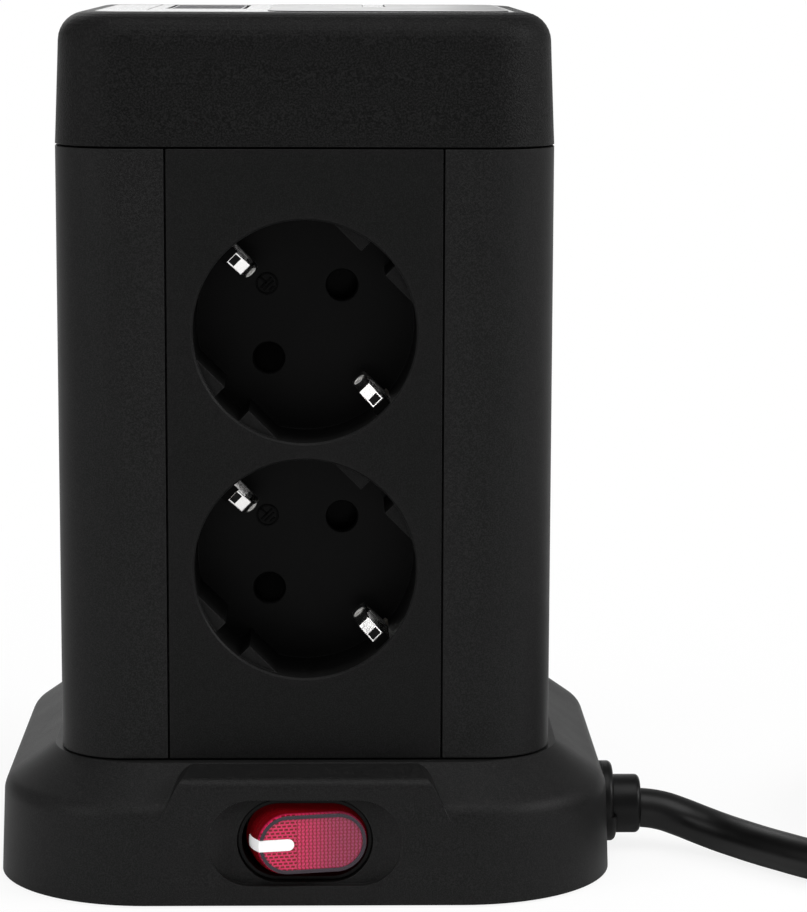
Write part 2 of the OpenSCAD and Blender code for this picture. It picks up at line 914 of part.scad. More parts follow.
// Flat guides at both ends of the pin row, each parted by a keyway
module well_ribs() {
    along_z(rib_start, floor_back - floor_t / 2) difference() {
        circle(well_r + well_wall / 2);
        translate([-rib_chord, -2 * well_r]) square([2 * rib_chord, 4 * well_r]);
        translate([-2 * well_r, -keyway_w / 2]) square([4 * well_r, keyway_w]);
    }
}

module shutter(i, z) {
    color("ivory") on_side(i) at_socket(z) translate([0, 0, floor_back + shutter_gap])
        difference() {
            union() {
                along_z(0, shutter_t) {
                    circle(shutter_hub_r);
                    square([pin_pitch, wing_bar_w], center = true);
                    for (x = [-1, 1]) translate([x * pin_pitch / 2, 0]) circle(wing_r);
                }
            }
            translate([0, 0, -overrun])
                cylinder(r = pivot_r + run_fit, h = shutter_t + 2 * overrun);
            for (turn = [0, 180]) rotate([0, 0, turn])
                translate([pin_pitch / 2 - wing_r - overrun, wing_lip - wing_r, 0])
                    rotate([wing_slope, 0, 0])
                        translate([0, -wing_r, -shutter_t])
                            cube([2 * wing_r + 2 * overrun, 3 * wing_r, shutter_t]);
        }
}

module contact_carrier(i) {
    back = -face + rail_d;
    color("ivory") on_side(i) difference() {
        union() {
            along_y(-face + carrier_d, back) translate([-carrier_half, lower_z - carrier_end])
                square([2 * carrier_half, socket_pitch + 2 * carrier_end]);
            for (z = socket_heights, x = [-1, 1])
                along_y(-face + floor_back, -face + carrier_d)
                    translate([x * standoff_at, z]) circle(standoff_r);
            for (side = [-1, 1], up = [0, 1])
                along_y(back, back + earth_gap)
                    translate([side * leg_x - pad_w / 2,
                        middle_z - side * up * pad_off - pad_len / 2])
                        square([pad_w, pad_len]);
        }
        for (z = socket_heights) at_socket(z) for (turn = [0, 180]) rotate([0, 0, turn]) {
            translate([pin_pitch / 2, 0, 0]) cylinder(r = tulip_r, h = face);
            box([-clip_w / 2 - leg_slot, leg_r - clip_t / 2 - leg_slot, 0],
                [clip_w / 2 + leg_slot, leg_r + clip_t / 2 + leg_slot, face]);
        }
    }
}

// A flat rail along one pole of both sockets, with a slit sleeve behind each pin hole
module rail(i, side, z0, z1) {
    color(brass) on_side(i) difference() {
        union() {
            along_y(-face + rail_d, -face + rail_d + rail_t)
                translate([side * pin_x - rail_w / 2, z0]) square([rail_w, z1 - z0]);
            for (z = socket_heights)
                along_y(-face + rail_d, -face + rail_d + rail_t + tulip_l)
                    translate([side * pin_x, z + side * pin_z]) circle(tulip_r);
        }
        for (z = socket_heights) translate([side * pin_x, 0, z + side * pin_z]) {
            along_y(-face, 0) circle(tulip_bore_r);
            for (turn = [0, 90])
                along_y(-face + rail_d + rail_t + tulip_root, 0)
                    rotate(turn) square([3 * tulip_r, tulip_slit], center = true);
        }
    }
}

module live_rail(i) {
    rail(i, 1, live_z - 2 * wire_r + cord_fit, upper_z + pin_z + rail_end);
}

module neutral_rail(i) {
    rail(i, -1, lower_z - pin_z - rail_end, neutral_z + wire_r);
}

module earth_strip(i) {
    path = concat(
        [for (s = clip_shares) [s[0] * well_r, s[1] * well_depth]],
        [
            [leg_r, clip_shares[len(clip_shares) - 1][1] * well_depth],
            [leg_r, earth_d + earth_t / 2]
        ]
    );
    color(steel) on_side(i) {
        along_y(-face + earth_d, -face + earth_d + earth_t) {
            for (side = [-1, 1])
                translate([side * leg_x - earth_bar_w / 2,
                    lower_z - side * leg_z - earth_bar_end])
                    square([earth_bar_w, socket_pitch + 2 * earth_bar_end]);
            translate([-leg_x, middle_z - earth_bar_w / 2])
                square([2 * leg_x, earth_bar_w]);
        }
        for (z = socket_heights) at_socket(z) for (turn = [0, 180]) rotate([0, 0, turn])
            rotate([90, 0, 90]) linear_extrude(clip_w, center = true)
                polygon(ribbon(path, clip_t));
    }
}

module post_screws() {
    color(steel) for (x = [-1, 1], y = [-1, 1]) translate([x * post_at, y * post_at, 0]) {
        translate([0, 0, foot_h - foot_wall - screw_head_h])
            cylinder(r = screw_head_r, h = screw_head_h);
        translate([0, 0, foot_h - foot_wall]) cylinder(r = screw_r, h = screw_len);
        translate([0, 0, cap_z + head_seat]) cylinder(r = screw_head_r, h = screw_head_h);
        translate([0, 0, cap_z + head_seat - screw_len]) cylinder(r = screw_r, h = screw_len);
    }
}

// Cap

function cap_outline(t, z0) = concat(
    [[0, z0], [cap_wall_at(z0) - t / cos(cap_draft), z0]],
    arc(cap_edge, cap_edge_r - t, cap_draft, 90),
    [[0, total_h - t]]
);

module top_cap() {
    skirt_r = tower_r - face + collar_out;
    lid_floor = total_h - lid_t;
    color(shell_black) difference() {
        union() {
            difference() {
                rounded_block(tower_c, cap_outline(0, cap_z), cap_z, total_h);
                rounded_block(tower_c, cap_outline(cap_wall, cap_z - overrun),
                    cap_z - overrun, total_h - cap_wall);
            }
            along_z(cap_z - skirt_drop, cap_z + skirt_up) difference() {
                round_square(collar_out, skirt_r);
                round_square(collar_out - collar_t, skirt_r - collar_t);
            }
            along_z(cap_z, cap_z + skirt_up) difference() {
                round_square(collar_out + 2 * fit, skirt_r + 2 * fit);
                round_square(collar_out - collar_t, skirt_r - collar_t);
            }
            along_z(lid_floor - lid_seat, total_h - cap_wall / 2)
                round_square(lid_w / 2 + collar_t, lid_r + collar_t);
            for (x = [-1, 1], y = [-1, 1])
                translate([x * post_at, y * post_at, cap_z + fit])
                    cylinder(r = column_r, h = lid_floor - cap_z - fit);
        }
        along_z(lid_floor, total_h + overrun)
            round_square(lid_w / 2 + lid_gap, lid_r + lid_gap);
        along_z(lid_floor - lid_seat - overrun, total_h) difference() {
            round_square(lid_w / 2 - lid_ledge, lid_r);
            for (x = [-1, 1], y = [-1, 1]) translate([x * post_at, y * post_at])
                circle(column_r);
        }
        for (x = [-1, 1], y = [-1, 1]) translate([x * post_at, y * post_at, 0]) {
            cylinder(r = screw_hole_r, h = total_h);
            translate([0, 0, cap_z + head_seat]) cylinder(r = head_bore_r, h = cap_h);
        }
    }
}

module top_panel() {
    board_top = total_h - lid_t - board_drop;
    color(shell_black) difference() {
        union() {
            along_z(total_h - lid_t, total_h) round_square(lid_w / 2, lid_r);
            for (x = [board_x[0] + board_post_in, board_x[1] - board_post_in],
                y = [board_y[0] + board_post_in, board_y[1] - board_post_in])
                translate([x, y, board_top]) cylinder(r = board_post_r, h = board_drop + lid_t / 2);
        }
        box([pocket_x[0], pocket_y[0], total_h - pocket_depth],
            [pocket_x[1], pocket_y[1], total_h + overrun]);
        for (y = port_places)
            box([port_x - port_l / 2 - fit, y - port_w / 2 - fit, total_h - lid_t - overrun],
                [port_x + port_l / 2 + fit, y + port_w / 2 + fit, total_h]);
        box([line_x - line_w / 2, line_y[0], total_h - line_w],
            [line_x + line_w / 2, line_y[1], total_h + overrun]);
        along_z(total_h - grip_in, total_h + overrun) grip_plan(fit);
    }
}

module grip_plan(gap) {
    difference() {
        round_rect([grip_x[0] - gap, -grip_y - gap], [grip_x[1] + gap, grip_y + gap], grip_r);
        translate([grip_slot_x[0] + gap, grip_slot_y + gap])
            square([grip_slot_x[1] - grip_slot_x[0] - 2 * gap, grip_y]);
    }
}

module grip_pad() {
    color(rubber_black) along_z(total_h - grip_in, total_h + grip_out) grip_plan(0);
}

module usb_ports() {
    top = total_h - pocket_depth;
    color(steel) for (y = port_places) translate([port_x, y, 0]) {
        difference() {
            box([-port_l / 2, -port_w / 2, top - port_len], [port_l / 2, port_w / 2, top]);
            box([-port_l / 2 + port_wall, -port_w / 2 + port_wall, top - port_len + tongue_t],
                [port_l / 2 - port_wall, port_w / 2 - port_wall, top + overrun]);
        }
        box([-port_l / 2 + 2 * port_wall, port_wall / 2, top - port_len],
            [port_l / 2 - 2 * port_wall, port_wall / 2 + tongue_t, top - tongue_short]);
    }
}

module usb_board() {
    top = total_h - pocket_depth - port_len;
    color("darkgreen") {
        along_z(top - board_t, top) round_rect([board_x[0], board_y[0]],
            [board_x[1], board_y[1]], board_t);
        translate([block_at[0], block_at[1], top - board_t - block_size[2]])
            cube(block_size);
        translate([can_at[0], can_at[1], top - board_t - can_h]) cylinder(r = can_r, h = can_h);
        translate([can_at[0], can_at[1] - 3 * can_r, top - board_t - can_h])
            cylinder(r = can_r, h = can_h);
    }
}

// Wires inside: a square loop links the rails of one pole round the column
module loop_wire(half, z) {
    b = wire_bend;
    corners = [
        for (i = [0:3], s = [-1, 1])
            let (a = 90 * i, x = s < 0 ? half - b : half, y = s < 0 ? -half : b - half)
                [x * cos(a) - y * sin(a), x * sin(a) + y * cos(a), z]
    ];
    path = concat([[wire_open, -half, z]], corners, [[-wire_open, -half, z]]);
    tube(path, wire_r, coil_sides, [1, 0, 0], [1, 0, 0]);
}

module wire(path) {
    n = len(path);
    tube(path, wire_r, coil_sides, unit(path[1] - path[0]), unit(path[n - 1] - path[n - 2]));
}

module inner_wires() {
    core_x = stub_in;
    blade_y = -case_front + case_len - case_wall + blade_len;
    board_low = total_h - pocket_depth - port_len - board_t;
    color("sienna") {
        along_x(stub_in, foot_w / 2) translate([-gland_y, cord_z]) circle(cord_r);
        loop_wire(wire_loop, live_z);
        loop_wire(wire_loop, neutral_z);
        loop_wire(earth_loop, earth_z);
        // live core to the switch, and on from it to the live loop
        wire([
            [core_x + wire_r, -gland_y - core_step, cord_z],
            [core_x - 2 * riser, -gland_y - core_step, cord_z],
            [blade_step + 2 * riser, blade_y + riser, switch_z],
            [blade_step + riser, blade_y + wire_r + cord_fit, switch_z],
            [blade_step - blade_t / 2, blade_y + wire_r + cord_fit, switch_z]
        ]);
        wire([
            [0, blade_y + cord_fit, switch_z], [0, blade_y + riser, switch_z],
            [-riser, -wire_loop - wire_r, foot_h], [-riser, -wire_loop, live_z - riser],
            [-riser, -wire_loop, live_z]
        ]);
        // neutral core up the middle to its loop
        wire([
            [core_x + wire_r, -gland_y + core_step, cord_z],
            [core_x - 2 * riser, -gland_y + core_step, cord_z],
            [2 * riser, -riser, foot_h - riser], [riser, 0, foot_h + riser],
            [riser, 0, neutral_z - riser], [riser, riser, neutral_z],
            [riser, wire_loop, neutral_z]
        ]);
        // earth core to its loop
        wire([
            [core_x + wire_r, -gland_y, cord_z + core_step],
            [core_x - 3 * riser, -gland_y, cord_z + core_step],
            [2 * riser, -2 * riser, foot_h + riser], [2 * riser, -2 * riser, earth_z - riser],
            [2 * riser, -2 * riser - wire_r, earth_z], [2 * riser, -earth_loop, earth_z]
        ]);
        // feed of the charging board
        wire([
            [-riser, wire_loop, live_z], [-riser, riser, live_z],
            [-riser, 0, live_z + riser], [-riser, 0, neutral_z], [0, block_at[1] + riser,
            board_low - block_size[2] - riser / 2],
            [0, block_at[1] + riser, board_low - block_size[2]]
        ]);
    }
}

// Cord

function lift(t) = let (s = min(max((t - coil_loops) * 2 + 0.5, 0), 1)) s * s * (3 - 2 * s);

function coil_point(t) =
    let (
        r = coil_r - coil_pitch * min(t, 2 * coil_loops - t),
        a = 360 * t - 90
    )
        [coil_at[0] + r * cos(a), coil_at[1] + r * sin(a), cord_r + coil_pitch * lift(t)];

coil_turns = 2 * coil_loops;
coil_path = concat(
    [coil_point(0) - [cord_d, 0, 0]],
    [for (i = [0 : coil_turns * coil_rings]) coil_point(i / coil_rings)],
    [coil_point(coil_turns) + [cord_d, 0, 0]]
);
coil_gap = min([
    for (i = [0 : len(coil_path) - 1])
        for (j = [i + floor(coil_rings / 2) : 1 : len(coil_path) - 1])
            norm(coil_path[i] - coil_path[j])
]) - cord_d;
coil_len = path_len(coil_path);
cord_len = coil_len + path_len(lead_route) + path_len(tail_route);

function path_len(p) = len(p) < 2 ? 0 : sum([
    for (i = [1 : len(p) - 1]) norm(p[i] - p[i - 1])
]);

function sum(v) = v * [for (x = v) 1];

module cord_lead() {
    color(rubber_black) tube(lead_route, cord_r, tube_sides, [1, 0, 0], [1, 0, 0]);
}

module cord_coil() {
    echo(least_gap_between_loops = coil_gap);
    echo(cord_length = cord_len);
    color(rubber_black) tube(coil_path, cord_r, coil_sides, [1, 0, 0], [1, 0, 0]);
}

module cord_tail() {
    color(rubber_black) tube(tail_route, cord_r, tube_sides, [1, 0, 0], [0, 1, 0]);
}

// Plug, lying on its back with its pins up

module at_plug() {
    translate([tail_route[len(tail_route) - 1][0],
        tail_route[len(tail_route) - 1][1] + plug_at, 0]) children();
}

module plug_body() {
    neck = tail_route[len(tail_route) - 1];
    color(rubber_black) difference() {
        union() {
            translate(neck) rotate([-90, 0, 0])
                cylinder(r1 = plug_neck_r[0], r2 = plug_neck_r[1], h = plug_neck_l);
            at_plug() rotate_extrude() polygon(concat(
                [[0, 0]],
                arc([plug_back_r - plug_edge, plug_edge], plug_edge, -90, 0),
                [[plug_back_r, plug_back_h], [plug_front_r, plug_back_h]],
                arc([plug_front_r - plug_edge / 3, plug_h - plug_edge / 3], plug_edge / 3, 0, 90),
                [[0, plug_h]]
            ));
        }
        at_plug() for (turn = [0, 180]) rotate([0, 0, turn])
            box([-plug_groove_w / 2, plug_front_r - plug_groove_t, plug_h - plug_groove_h],
                [plug_groove_w / 2, plug_back_r, plug_h + overrun]);
    }
}

module plug_pins() {
    color(steel) at_plug() for (x = [-1, 1])
        translate([x * pin_pitch / 2, 0, plug_h]) {
            cylinder(r = plug_pin_r, h = plug_pin_l - plug_pin_r);
            translate([0, 0, plug_pin_l - plug_pin_r]) sphere(plug_pin_r);
        }
}

module plug_earth() {
    color(brass) at_plug() for (turn = [0, 180]) rotate([0, 0, turn])
        box([-plug_contact_w / 2, plug_front_r - plug_groove_t, plug_h - plug_groove_h],
            [plug_contact_w / 2, plug_front_r - plug_groove_t + plug_contact_t, plug_h]);
}

base_housing();
base_plate();
rubber_feet();
base_screws();
cord_clamp();
clamp_screws();
switch_case();
switch_terminals();
rocker_body();
rocker_rim();
rocker_mark();
indicator_lamp();
corner_post(0);  // corner_post_front_right
corner_post(1);  // corner_post_back_right
corner_post(2);  // corner_post_back_left
corner_post(3);  // corner_post_front_left
side_panel(0);  // side_panel_front
side_panel(1);  // side_panel_right
side_panel(2);  // side_panel_back
side_panel(3);  // side_panel_left
shutter(0, lower_z);  // shutter_front_lower
shutter(0, upper_z);  // shutter_front_upper
shutter(1, lower_z);  // shutter_right_lower
shutter(1, upper_z);  // shutter_right_upper
shutter(2, lower_z);  // shutter_back_lower
shutter(2, upper_z);  // shutter_back_upper
shutter(3, lower_z);  // shutter_left_lower
shutter(3, upper_z);  // shutter_left_upper
contact_carrier(0);  // contact_carrier_front
contact_carrier(1);  // contact_carrier_right
contact_carrier(2);  // contact_carrier_back
contact_carrier(3);  // contact_carrier_left
live_rail(0);  // live_rail_front
live_rail(1);  // live_rail_right
live_rail(2);  // live_rail_back
live_rail(3);  // live_rail_left
neutral_rail(0);  // neutral_rail_front
neutral_rail(1);  // neutral_rail_right
neutral_rail(2);  // neutral_rail_back
neutral_rail(3);  // neutral_rail_left
earth_strip(0);  // earth_strip_front
earth_strip(1);  // earth_strip_right
earth_strip(2);  // earth_strip_back
earth_strip(3);  // earth_strip_left
top_cap();
top_panel();
grip_pad();
usb_ports();
usb_board();
post_screws();
inner_wires();
gland_upper();
gland_lower();
cord_lead();
cord_coil();
cord_tail();
plug_body();
plug_pins();
plug_earth();
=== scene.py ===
"""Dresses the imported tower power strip: lead, finishes, lens, small fittings, camera, light.

Every length is in metres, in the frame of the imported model. The origin is at the middle
of the foot, on the floor, the switch faces -Y and the lead leaves towards +X.
"""

import logging
import math
from dataclasses import dataclass
from enum import Enum
from typing import Any, Sequence, Union

import bmesh
import bpy
from mathutils import Matrix, Vector


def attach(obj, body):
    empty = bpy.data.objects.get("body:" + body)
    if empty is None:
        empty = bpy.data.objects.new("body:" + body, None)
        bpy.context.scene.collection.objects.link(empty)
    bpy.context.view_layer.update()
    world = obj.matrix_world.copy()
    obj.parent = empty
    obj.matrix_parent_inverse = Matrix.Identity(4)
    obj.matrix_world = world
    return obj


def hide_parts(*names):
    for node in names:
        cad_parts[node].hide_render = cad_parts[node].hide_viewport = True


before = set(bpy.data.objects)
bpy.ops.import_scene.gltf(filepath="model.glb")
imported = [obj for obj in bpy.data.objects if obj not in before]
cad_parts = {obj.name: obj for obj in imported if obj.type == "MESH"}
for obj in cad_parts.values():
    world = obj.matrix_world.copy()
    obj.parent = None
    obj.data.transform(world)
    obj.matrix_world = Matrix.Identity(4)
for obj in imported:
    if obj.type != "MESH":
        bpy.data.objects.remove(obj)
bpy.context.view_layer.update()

LOG = logging.getLogger("power_strip")
MM = 0.001

Pair = tuple[float, float]
Point = tuple[float, float, float]
Colour = tuple[float, float, float]
Sockets = dict[str | int, Any]
Term = Union["Wire", float]


# Shader graphs


class Wire:
    """One output of a shader node. Arithmetic on it adds Math nodes to its graph."""

    def __init__(self, graph: "Graph", socket: bpy.types.NodeSocket) -> None:
        """Keeps the graph that grows and the socket that carries the value."""
        self.graph = graph
        self.socket = socket

    def __add__(self, other: Term) -> "Wire":
        """The sum."""
        return self.graph.maths("ADD", self, other)

    def __radd__(self, other: Term) -> "Wire":
        """The sum, with the number first."""
        return self.graph.maths("ADD", other, self)

    def __sub__(self, other: Term) -> "Wire":
        """The difference."""
        return self.graph.maths("SUBTRACT", self, other)

    def __rsub__(self, other: Term) -> "Wire":
        """The difference, with the number first."""
        return self.graph.maths("SUBTRACT", other, self)

    def __mul__(self, other: Term) -> "Wire":
        """The product."""
        return self.graph.maths("MULTIPLY", self, other)

    def __rmul__(self, other: Term) -> "Wire":
        """The product, with the number first."""
        return self.graph.maths("MULTIPLY", other, self)

    def __truediv__(self, other: Term) -> "Wire":
        """The quotient."""
        return self.graph.maths("DIVIDE", self, other)

    def __lt__(self, other: Term) -> "Wire":
        """One where this is less, zero elsewhere."""
        return self.graph.maths("LESS_THAN", self, other)

    def __abs__(self) -> "Wire":
        """The size without its sign."""
        return self.graph.maths("ABSOLUTE", self)

    def most(self, other: Term) -> "Wire":
        """The greater of the two."""
        return self.graph.maths("MAXIMUM", self, other)

    def wave(self, length: float) -> "Wire":
        """A triangle wave of that length, from zero to one and back."""
        return self.graph.maths("PINGPONG", self / (length / 2), 1.0)

    def swing(self, span: float) -> "Wire":
        """A value from zero to one, moved about zero and stretched to that span."""
        return (self - 0.5) * span


class Graph:
    """The node tree of one material or of the world."""

    BEVEL_SAMPLES = 4
    UPWARD: Pair = (0.35, 0.95)
    WORN: Pair = (0.01, 0.15)

    def __init__(self, tree: bpy.types.NodeTree) -> None:
        """Empties the tree and takes it over."""
        tree.nodes.clear()
        self.tree = tree

    def node(
        self,
        kind: str,
        settings: dict[str, Any] | None = None,
        sockets: Sockets | None = None,
        output: str | int = 0,
    ) -> Wire:
        """Adds one node.

        Args:
            kind: the node's type.
            settings: its properties, set first.
            sockets: values or wires for its inputs, by name or number.
            output: the output that the wire carries.

        Returns:
            The wire of that output.
        """
        made = self.tree.nodes.new(kind)
        for name, value in (settings or {}).items():
            setattr(made, name, value)
        for name, value in (sockets or {}).items():
            self._feed(made.inputs[name], value)
        return Wire(self, made.outputs[output] if made.outputs else None)

    def _feed(self, socket: bpy.types.NodeSocket, value: Any) -> None:
        """Links a wire to a socket, or sets its value.

        Args:
            socket: the input.
            value: a wire, a number, a vector, or a colour of three parts.
        """
        if isinstance(value, Wire):
            self.tree.links.new(value.socket, socket)
        elif socket.type == "RGBA":
            socket.default_value = (*value, 1.0)
        else:
            socket.default_value = value

    def beside(self, wire: Wire, *outputs: str | int) -> list[Wire]:
        """Wires of other outputs of the node that this wire comes from."""
        return [Wire(self, wire.socket.node.outputs[output]) for output in outputs]

    def maths(self, operation: str, *terms: Term) -> Wire:
        """One Math node on wires and numbers."""
        return self.node("ShaderNodeMath", {"operation": operation}, dict(enumerate(terms)))

    def place(self) -> Wire:
        """The point on the piece, in metres of the piece's own frame."""
        return self.node("ShaderNodeTexCoord", output="Object")

    def axes(self, vector: Wire) -> tuple[Wire, Wire, Wire]:
        """The three parts of a vector."""
        x = self.node("ShaderNodeSeparateXYZ", {}, {0: vector})
        return x, *self.beside(x, 1, 2)

    def stretched(self, vector: Wire, factors: Point) -> Wire:
        """The vector with each part times its factor."""
        return self.node(
            "ShaderNodeVectorMath", {"operation": "MULTIPLY"}, {0: vector, 1: factors}
        )

    def noise(self, vector: Wire, size: float, detail: float = 2.0, rough: float = 0.5) -> Wire:
        """Smooth noise from about zero to one, with lumps of about that size in metres."""
        return self.node(
            "ShaderNodeTexNoise",
            {},
            {"Vector": vector, "Scale": 1 / size, "Detail": detail, "Roughness": rough},
        )

    def step(self, value: Wire, low: float, high: float) -> Wire:
        """A smooth step from zero at low to one at high."""
        return self.node(
            "ShaderNodeMapRange",
            {"interpolation_type": "SMOOTHSTEP"},
            {"Value": value, "From Min": low, "From Max": high},
        )

    def blend(self, share: Term, first: Any, second: Any) -> Wire:
        """A colour between two, by its share of the second."""
        return self.node(
            "ShaderNodeMix", {"data_type": "RGBA"}, {0: share, 6: first, 7: second}, 2
        )

    def upward(self) -> Wire:
        """One on faces that look up, zero on upright and lower ones."""
        normal = self.node("ShaderNodeNewGeometry", output="Normal")
        return self.step(self.axes(normal)[2], *self.UPWARD)

    def rounded(self, radius: float) -> Wire:
        """Normals that turn softly over sharp edges."""
        return self.node("ShaderNodeBevel", {"samples": self.BEVEL_SAMPLES}, {"Radius": radius})

    def worn(self, soft: Wire) -> Wire:
        """Finds the edges of a piece.

        Args:
            soft: the normals of rounded.

        Returns:
            One along edges, where the soft normal leaves the true one, zero elsewhere.
        """
        flat = self.node("ShaderNodeNewGeometry", output="True Normal")
        dot = self.node(
            "ShaderNodeVectorMath", {"operation": "DOT_PRODUCT"}, {0: soft, 1: flat}, 1
        )
        return self.step(1 - dot, *self.WORN)

    def bump(self, height: Wire, depth: float, normal: Wire | None = None) -> Wire:
        """Turns a relief into normals.

        Args:
            height: the relief, from zero to one.
            depth: what one stands for, in metres.
            normal: normals to start from, or the piece's own.

        Returns:
            The normals.
        """
        sockets: Sockets = {"Height": height, "Distance": depth}
        if normal is not None:
            sockets["Normal"] = normal
        return self.node("ShaderNodeBump", {}, sockets)

    def surface(
        self, base: Wire, rough: Wire, normal: Wire, others: Sockets | None = None
    ) -> None:
        """Ends a material in one Principled shader.

        Args:
            base: its colour.
            rough: its roughness.
            normal: its normals.
            others: what else it is fed.
        """
        sockets = {"Base Color": base, "Roughness": rough, "Normal": normal, **(others or {})}
        shader = self.node("ShaderNodeBsdfPrincipled", {}, sockets)
        self.node("ShaderNodeOutputMaterial", {}, {"Surface": shader})


def grey(level: float) -> Colour:
    """A colour without a hue."""
    return (level, level, level)


def shade(colour: Colour, factor: float) -> Colour:
    """A colour made lighter or darker."""
    return (colour[0] * factor, colour[1] * factor, colour[2] * factor)


# Sizes that several classes share


@dataclass(frozen=True)
class Wells:
    """A side's socket wells: the face they start at, their radius, depth and middles' heights."""

    face: float = 44.75 * MM
    radius: float = 19.9 * MM
    depth: float = 17.5 * MM
    centres: Pair = (59.04 * MM, 101.84 * MM)


WELLS = Wells()


# Finishes


DUST: Colour = (0.20, 0.19, 0.18)


@dataclass(frozen=True)
class Finish:
    """A surface finish.

    In every finish a tone is a factor of the colour, and tones are those of its darkest and
    lightest places. Steps are where a mask sets in and where it is full, a share is how much
    of a tint shows there, and rough is how far a pattern moves the roughness. A pattern's own
    name is its size, edge is the radius of rounded edges, and depth is that of the relief.
    """

    name: str
    colour: Colour
    roughness: float
    tones: Pair = (0.85, 1.15)

    def draw(self, graph: Graph) -> None:
        """Builds the shader in the graph. Each subclass has its own."""
        raise NotImplementedError

    def toned(self, graph: Graph, share: Wire) -> Wire:
        """The colour from its dark tone, where share is zero, to its light one."""
        dark, light = (shade(self.colour, tone) for tone in self.tones)
        return graph.blend(share, dark, light)

    def material(self) -> bpy.types.Material:
        """Gives the finish as a material.

        Returns:
            The material, which is made at its first use.
        """
        name = f"finish_{self.name}"
        made = bpy.data.materials.get(name)
        if made is None:
            made = bpy.data.materials.new(name)
            made.use_nodes = True
            self.draw(Graph(made.node_tree))
        return made


@dataclass(frozen=True)
class MouldedPlastic(Finish):
    """Spark-eroded black plastic: fine grain, faint flow marks, edges polished by hands.

    Its colour also holds painted light: painted shade in the grain's pits and painted glints on
    its tips, painted highlights along the edges, and with a face, painted shade in the wells.
    """

    grain: float = 0.22 * MM
    grain_rough: float = 0.12
    depth: float = 0.02 * MM
    gloss: float = 0.16
    grain_shading: float = 0.4
    pit_shade_steps: Pair = (0.55, 0.35)
    pit_shade_tone: float = 0.2
    tip_glint_steps: Pair = (0.45, 0.65)
    tip_glint_tone: float = 3.0
    flow: float = 9 * MM
    flow_rough: float = 0.1
    edge: float = 0.22 * MM
    edge_wear_and_highlight_share: float = 0.45
    edge_wear_and_highlight_tone: float = 2.6
    edge_polish: float = 0.12
    dust: float = 0.06
    lint: float = 1.2 * MM
    lint_steps: Pair = (0.55, 0.8)
    lint_rough: float = 0.1
    face: float | None = None
    well_shade_steps: Pair = (0.6 * MM, 8 * MM)
    well_shade_share: float = 0.7
    well_shade_tone: float = 0.1

    def draw(self, graph: Graph) -> None:
        """Builds the shader.

        Args:
            graph: the material's node tree.
        """
        place = graph.place()
        grain = graph.noise(place, self.grain, detail=2.0, rough=0.6)
        flow = graph.noise(place, self.flow, detail=3.0)
        fluff = graph.noise(place, self.lint, detail=4.0, rough=0.7)
        lint = graph.upward() * graph.step(fluff, *self.lint_steps)
        soft = graph.rounded(self.edge)
        edges = graph.worn(soft)
        # painted shade in the grain's pits and painted glints on its tips, both following the
        # relief
        pit_shade = graph.step(grain, *self.pit_shade_steps)
        tip_glint = graph.step(grain, *self.tip_glint_steps)
        base = self.toned(graph, flow)
        base = graph.blend(pit_shade * self.grain_shading, base, shade(self.colour, self.pit_shade_tone))
        base = graph.blend(tip_glint * self.grain_shading, base, shade(self.colour, self.tip_glint_tone))
        # edges lighter: partly wear, partly painted highlight
        base = graph.blend(edges * self.edge_wear_and_highlight_share, base, shade(self.colour, self.edge_wear_and_highlight_tone))
        # painted shade deep in the wells
        if self.face is not None:
            base = self._painted_well_shade(graph, place, base)
        base = graph.blend(lint * self.dust, base, DUST)
        rough = self.roughness + grain.swing(self.grain_rough) + flow.swing(self.flow_rough)
        rough = rough - edges * self.edge_polish + lint * self.lint_rough
        relief = graph.bump(grain, self.depth, soft)
        graph.surface(base, rough, relief, {"Specular IOR Level": self.gloss})

    def _painted_well_shade(self, graph: Graph, place: Wire, base: Wire) -> Wire:
        """Paints shade on what lies behind the face, where little light comes in.

        Args:
            graph: the material's node tree.
            place: the point on the piece.
            base: the colour so far.

        Returns:
            The colour with painted shade in the wells.
        """
        x, y, _ = graph.axes(place)
        well_shade = graph.step(self.face - abs(x).most(abs(y)), *self.well_shade_steps)
        return graph.blend(well_shade * self.well_shade_share, base, shade(self.colour, self.well_shade_tone))


@dataclass(frozen=True)
class SoftRubber(Finish):
    """Matt rubber or soft cord sheath, with a fine bloom and small scuffs."""

    tones: Pair = (0.8, 1.25)
    bloom: float = 0.25
    gloss: float = 0.25
    pore: float = 0.35 * MM
    depth: float = 0.01 * MM
    haze: float = 6 * MM
    haze_rough: float = 0.15
    scuff: float = 2.2 * MM
    scuff_steps: Pair = (0.6, 0.85)
    scuff_tone: float = 2.4
    scuff_rough: float = 0.12

    def draw(self, graph: Graph) -> None:
        """Builds the shader.

        Args:
            graph: the material's node tree.
        """
        place = graph.place()
        pore = graph.noise(place, self.pore, detail=2.0, rough=0.6)
        haze = graph.noise(place, self.haze, detail=4.0, rough=0.6)
        rub = graph.noise(place, self.scuff, detail=5.0, rough=0.75)
        scuff = graph.step(rub, *self.scuff_steps)
        scuffed = shade(self.colour, self.scuff_tone)
        base = graph.blend(scuff * self.bloom, self.toned(graph, haze), scuffed)
        rough = self.roughness + haze.swing(self.haze_rough) + scuff * self.scuff_rough
        relief = graph.bump(pore, self.depth)
        graph.surface(base, rough, relief, {"Specular IOR Level": self.gloss})


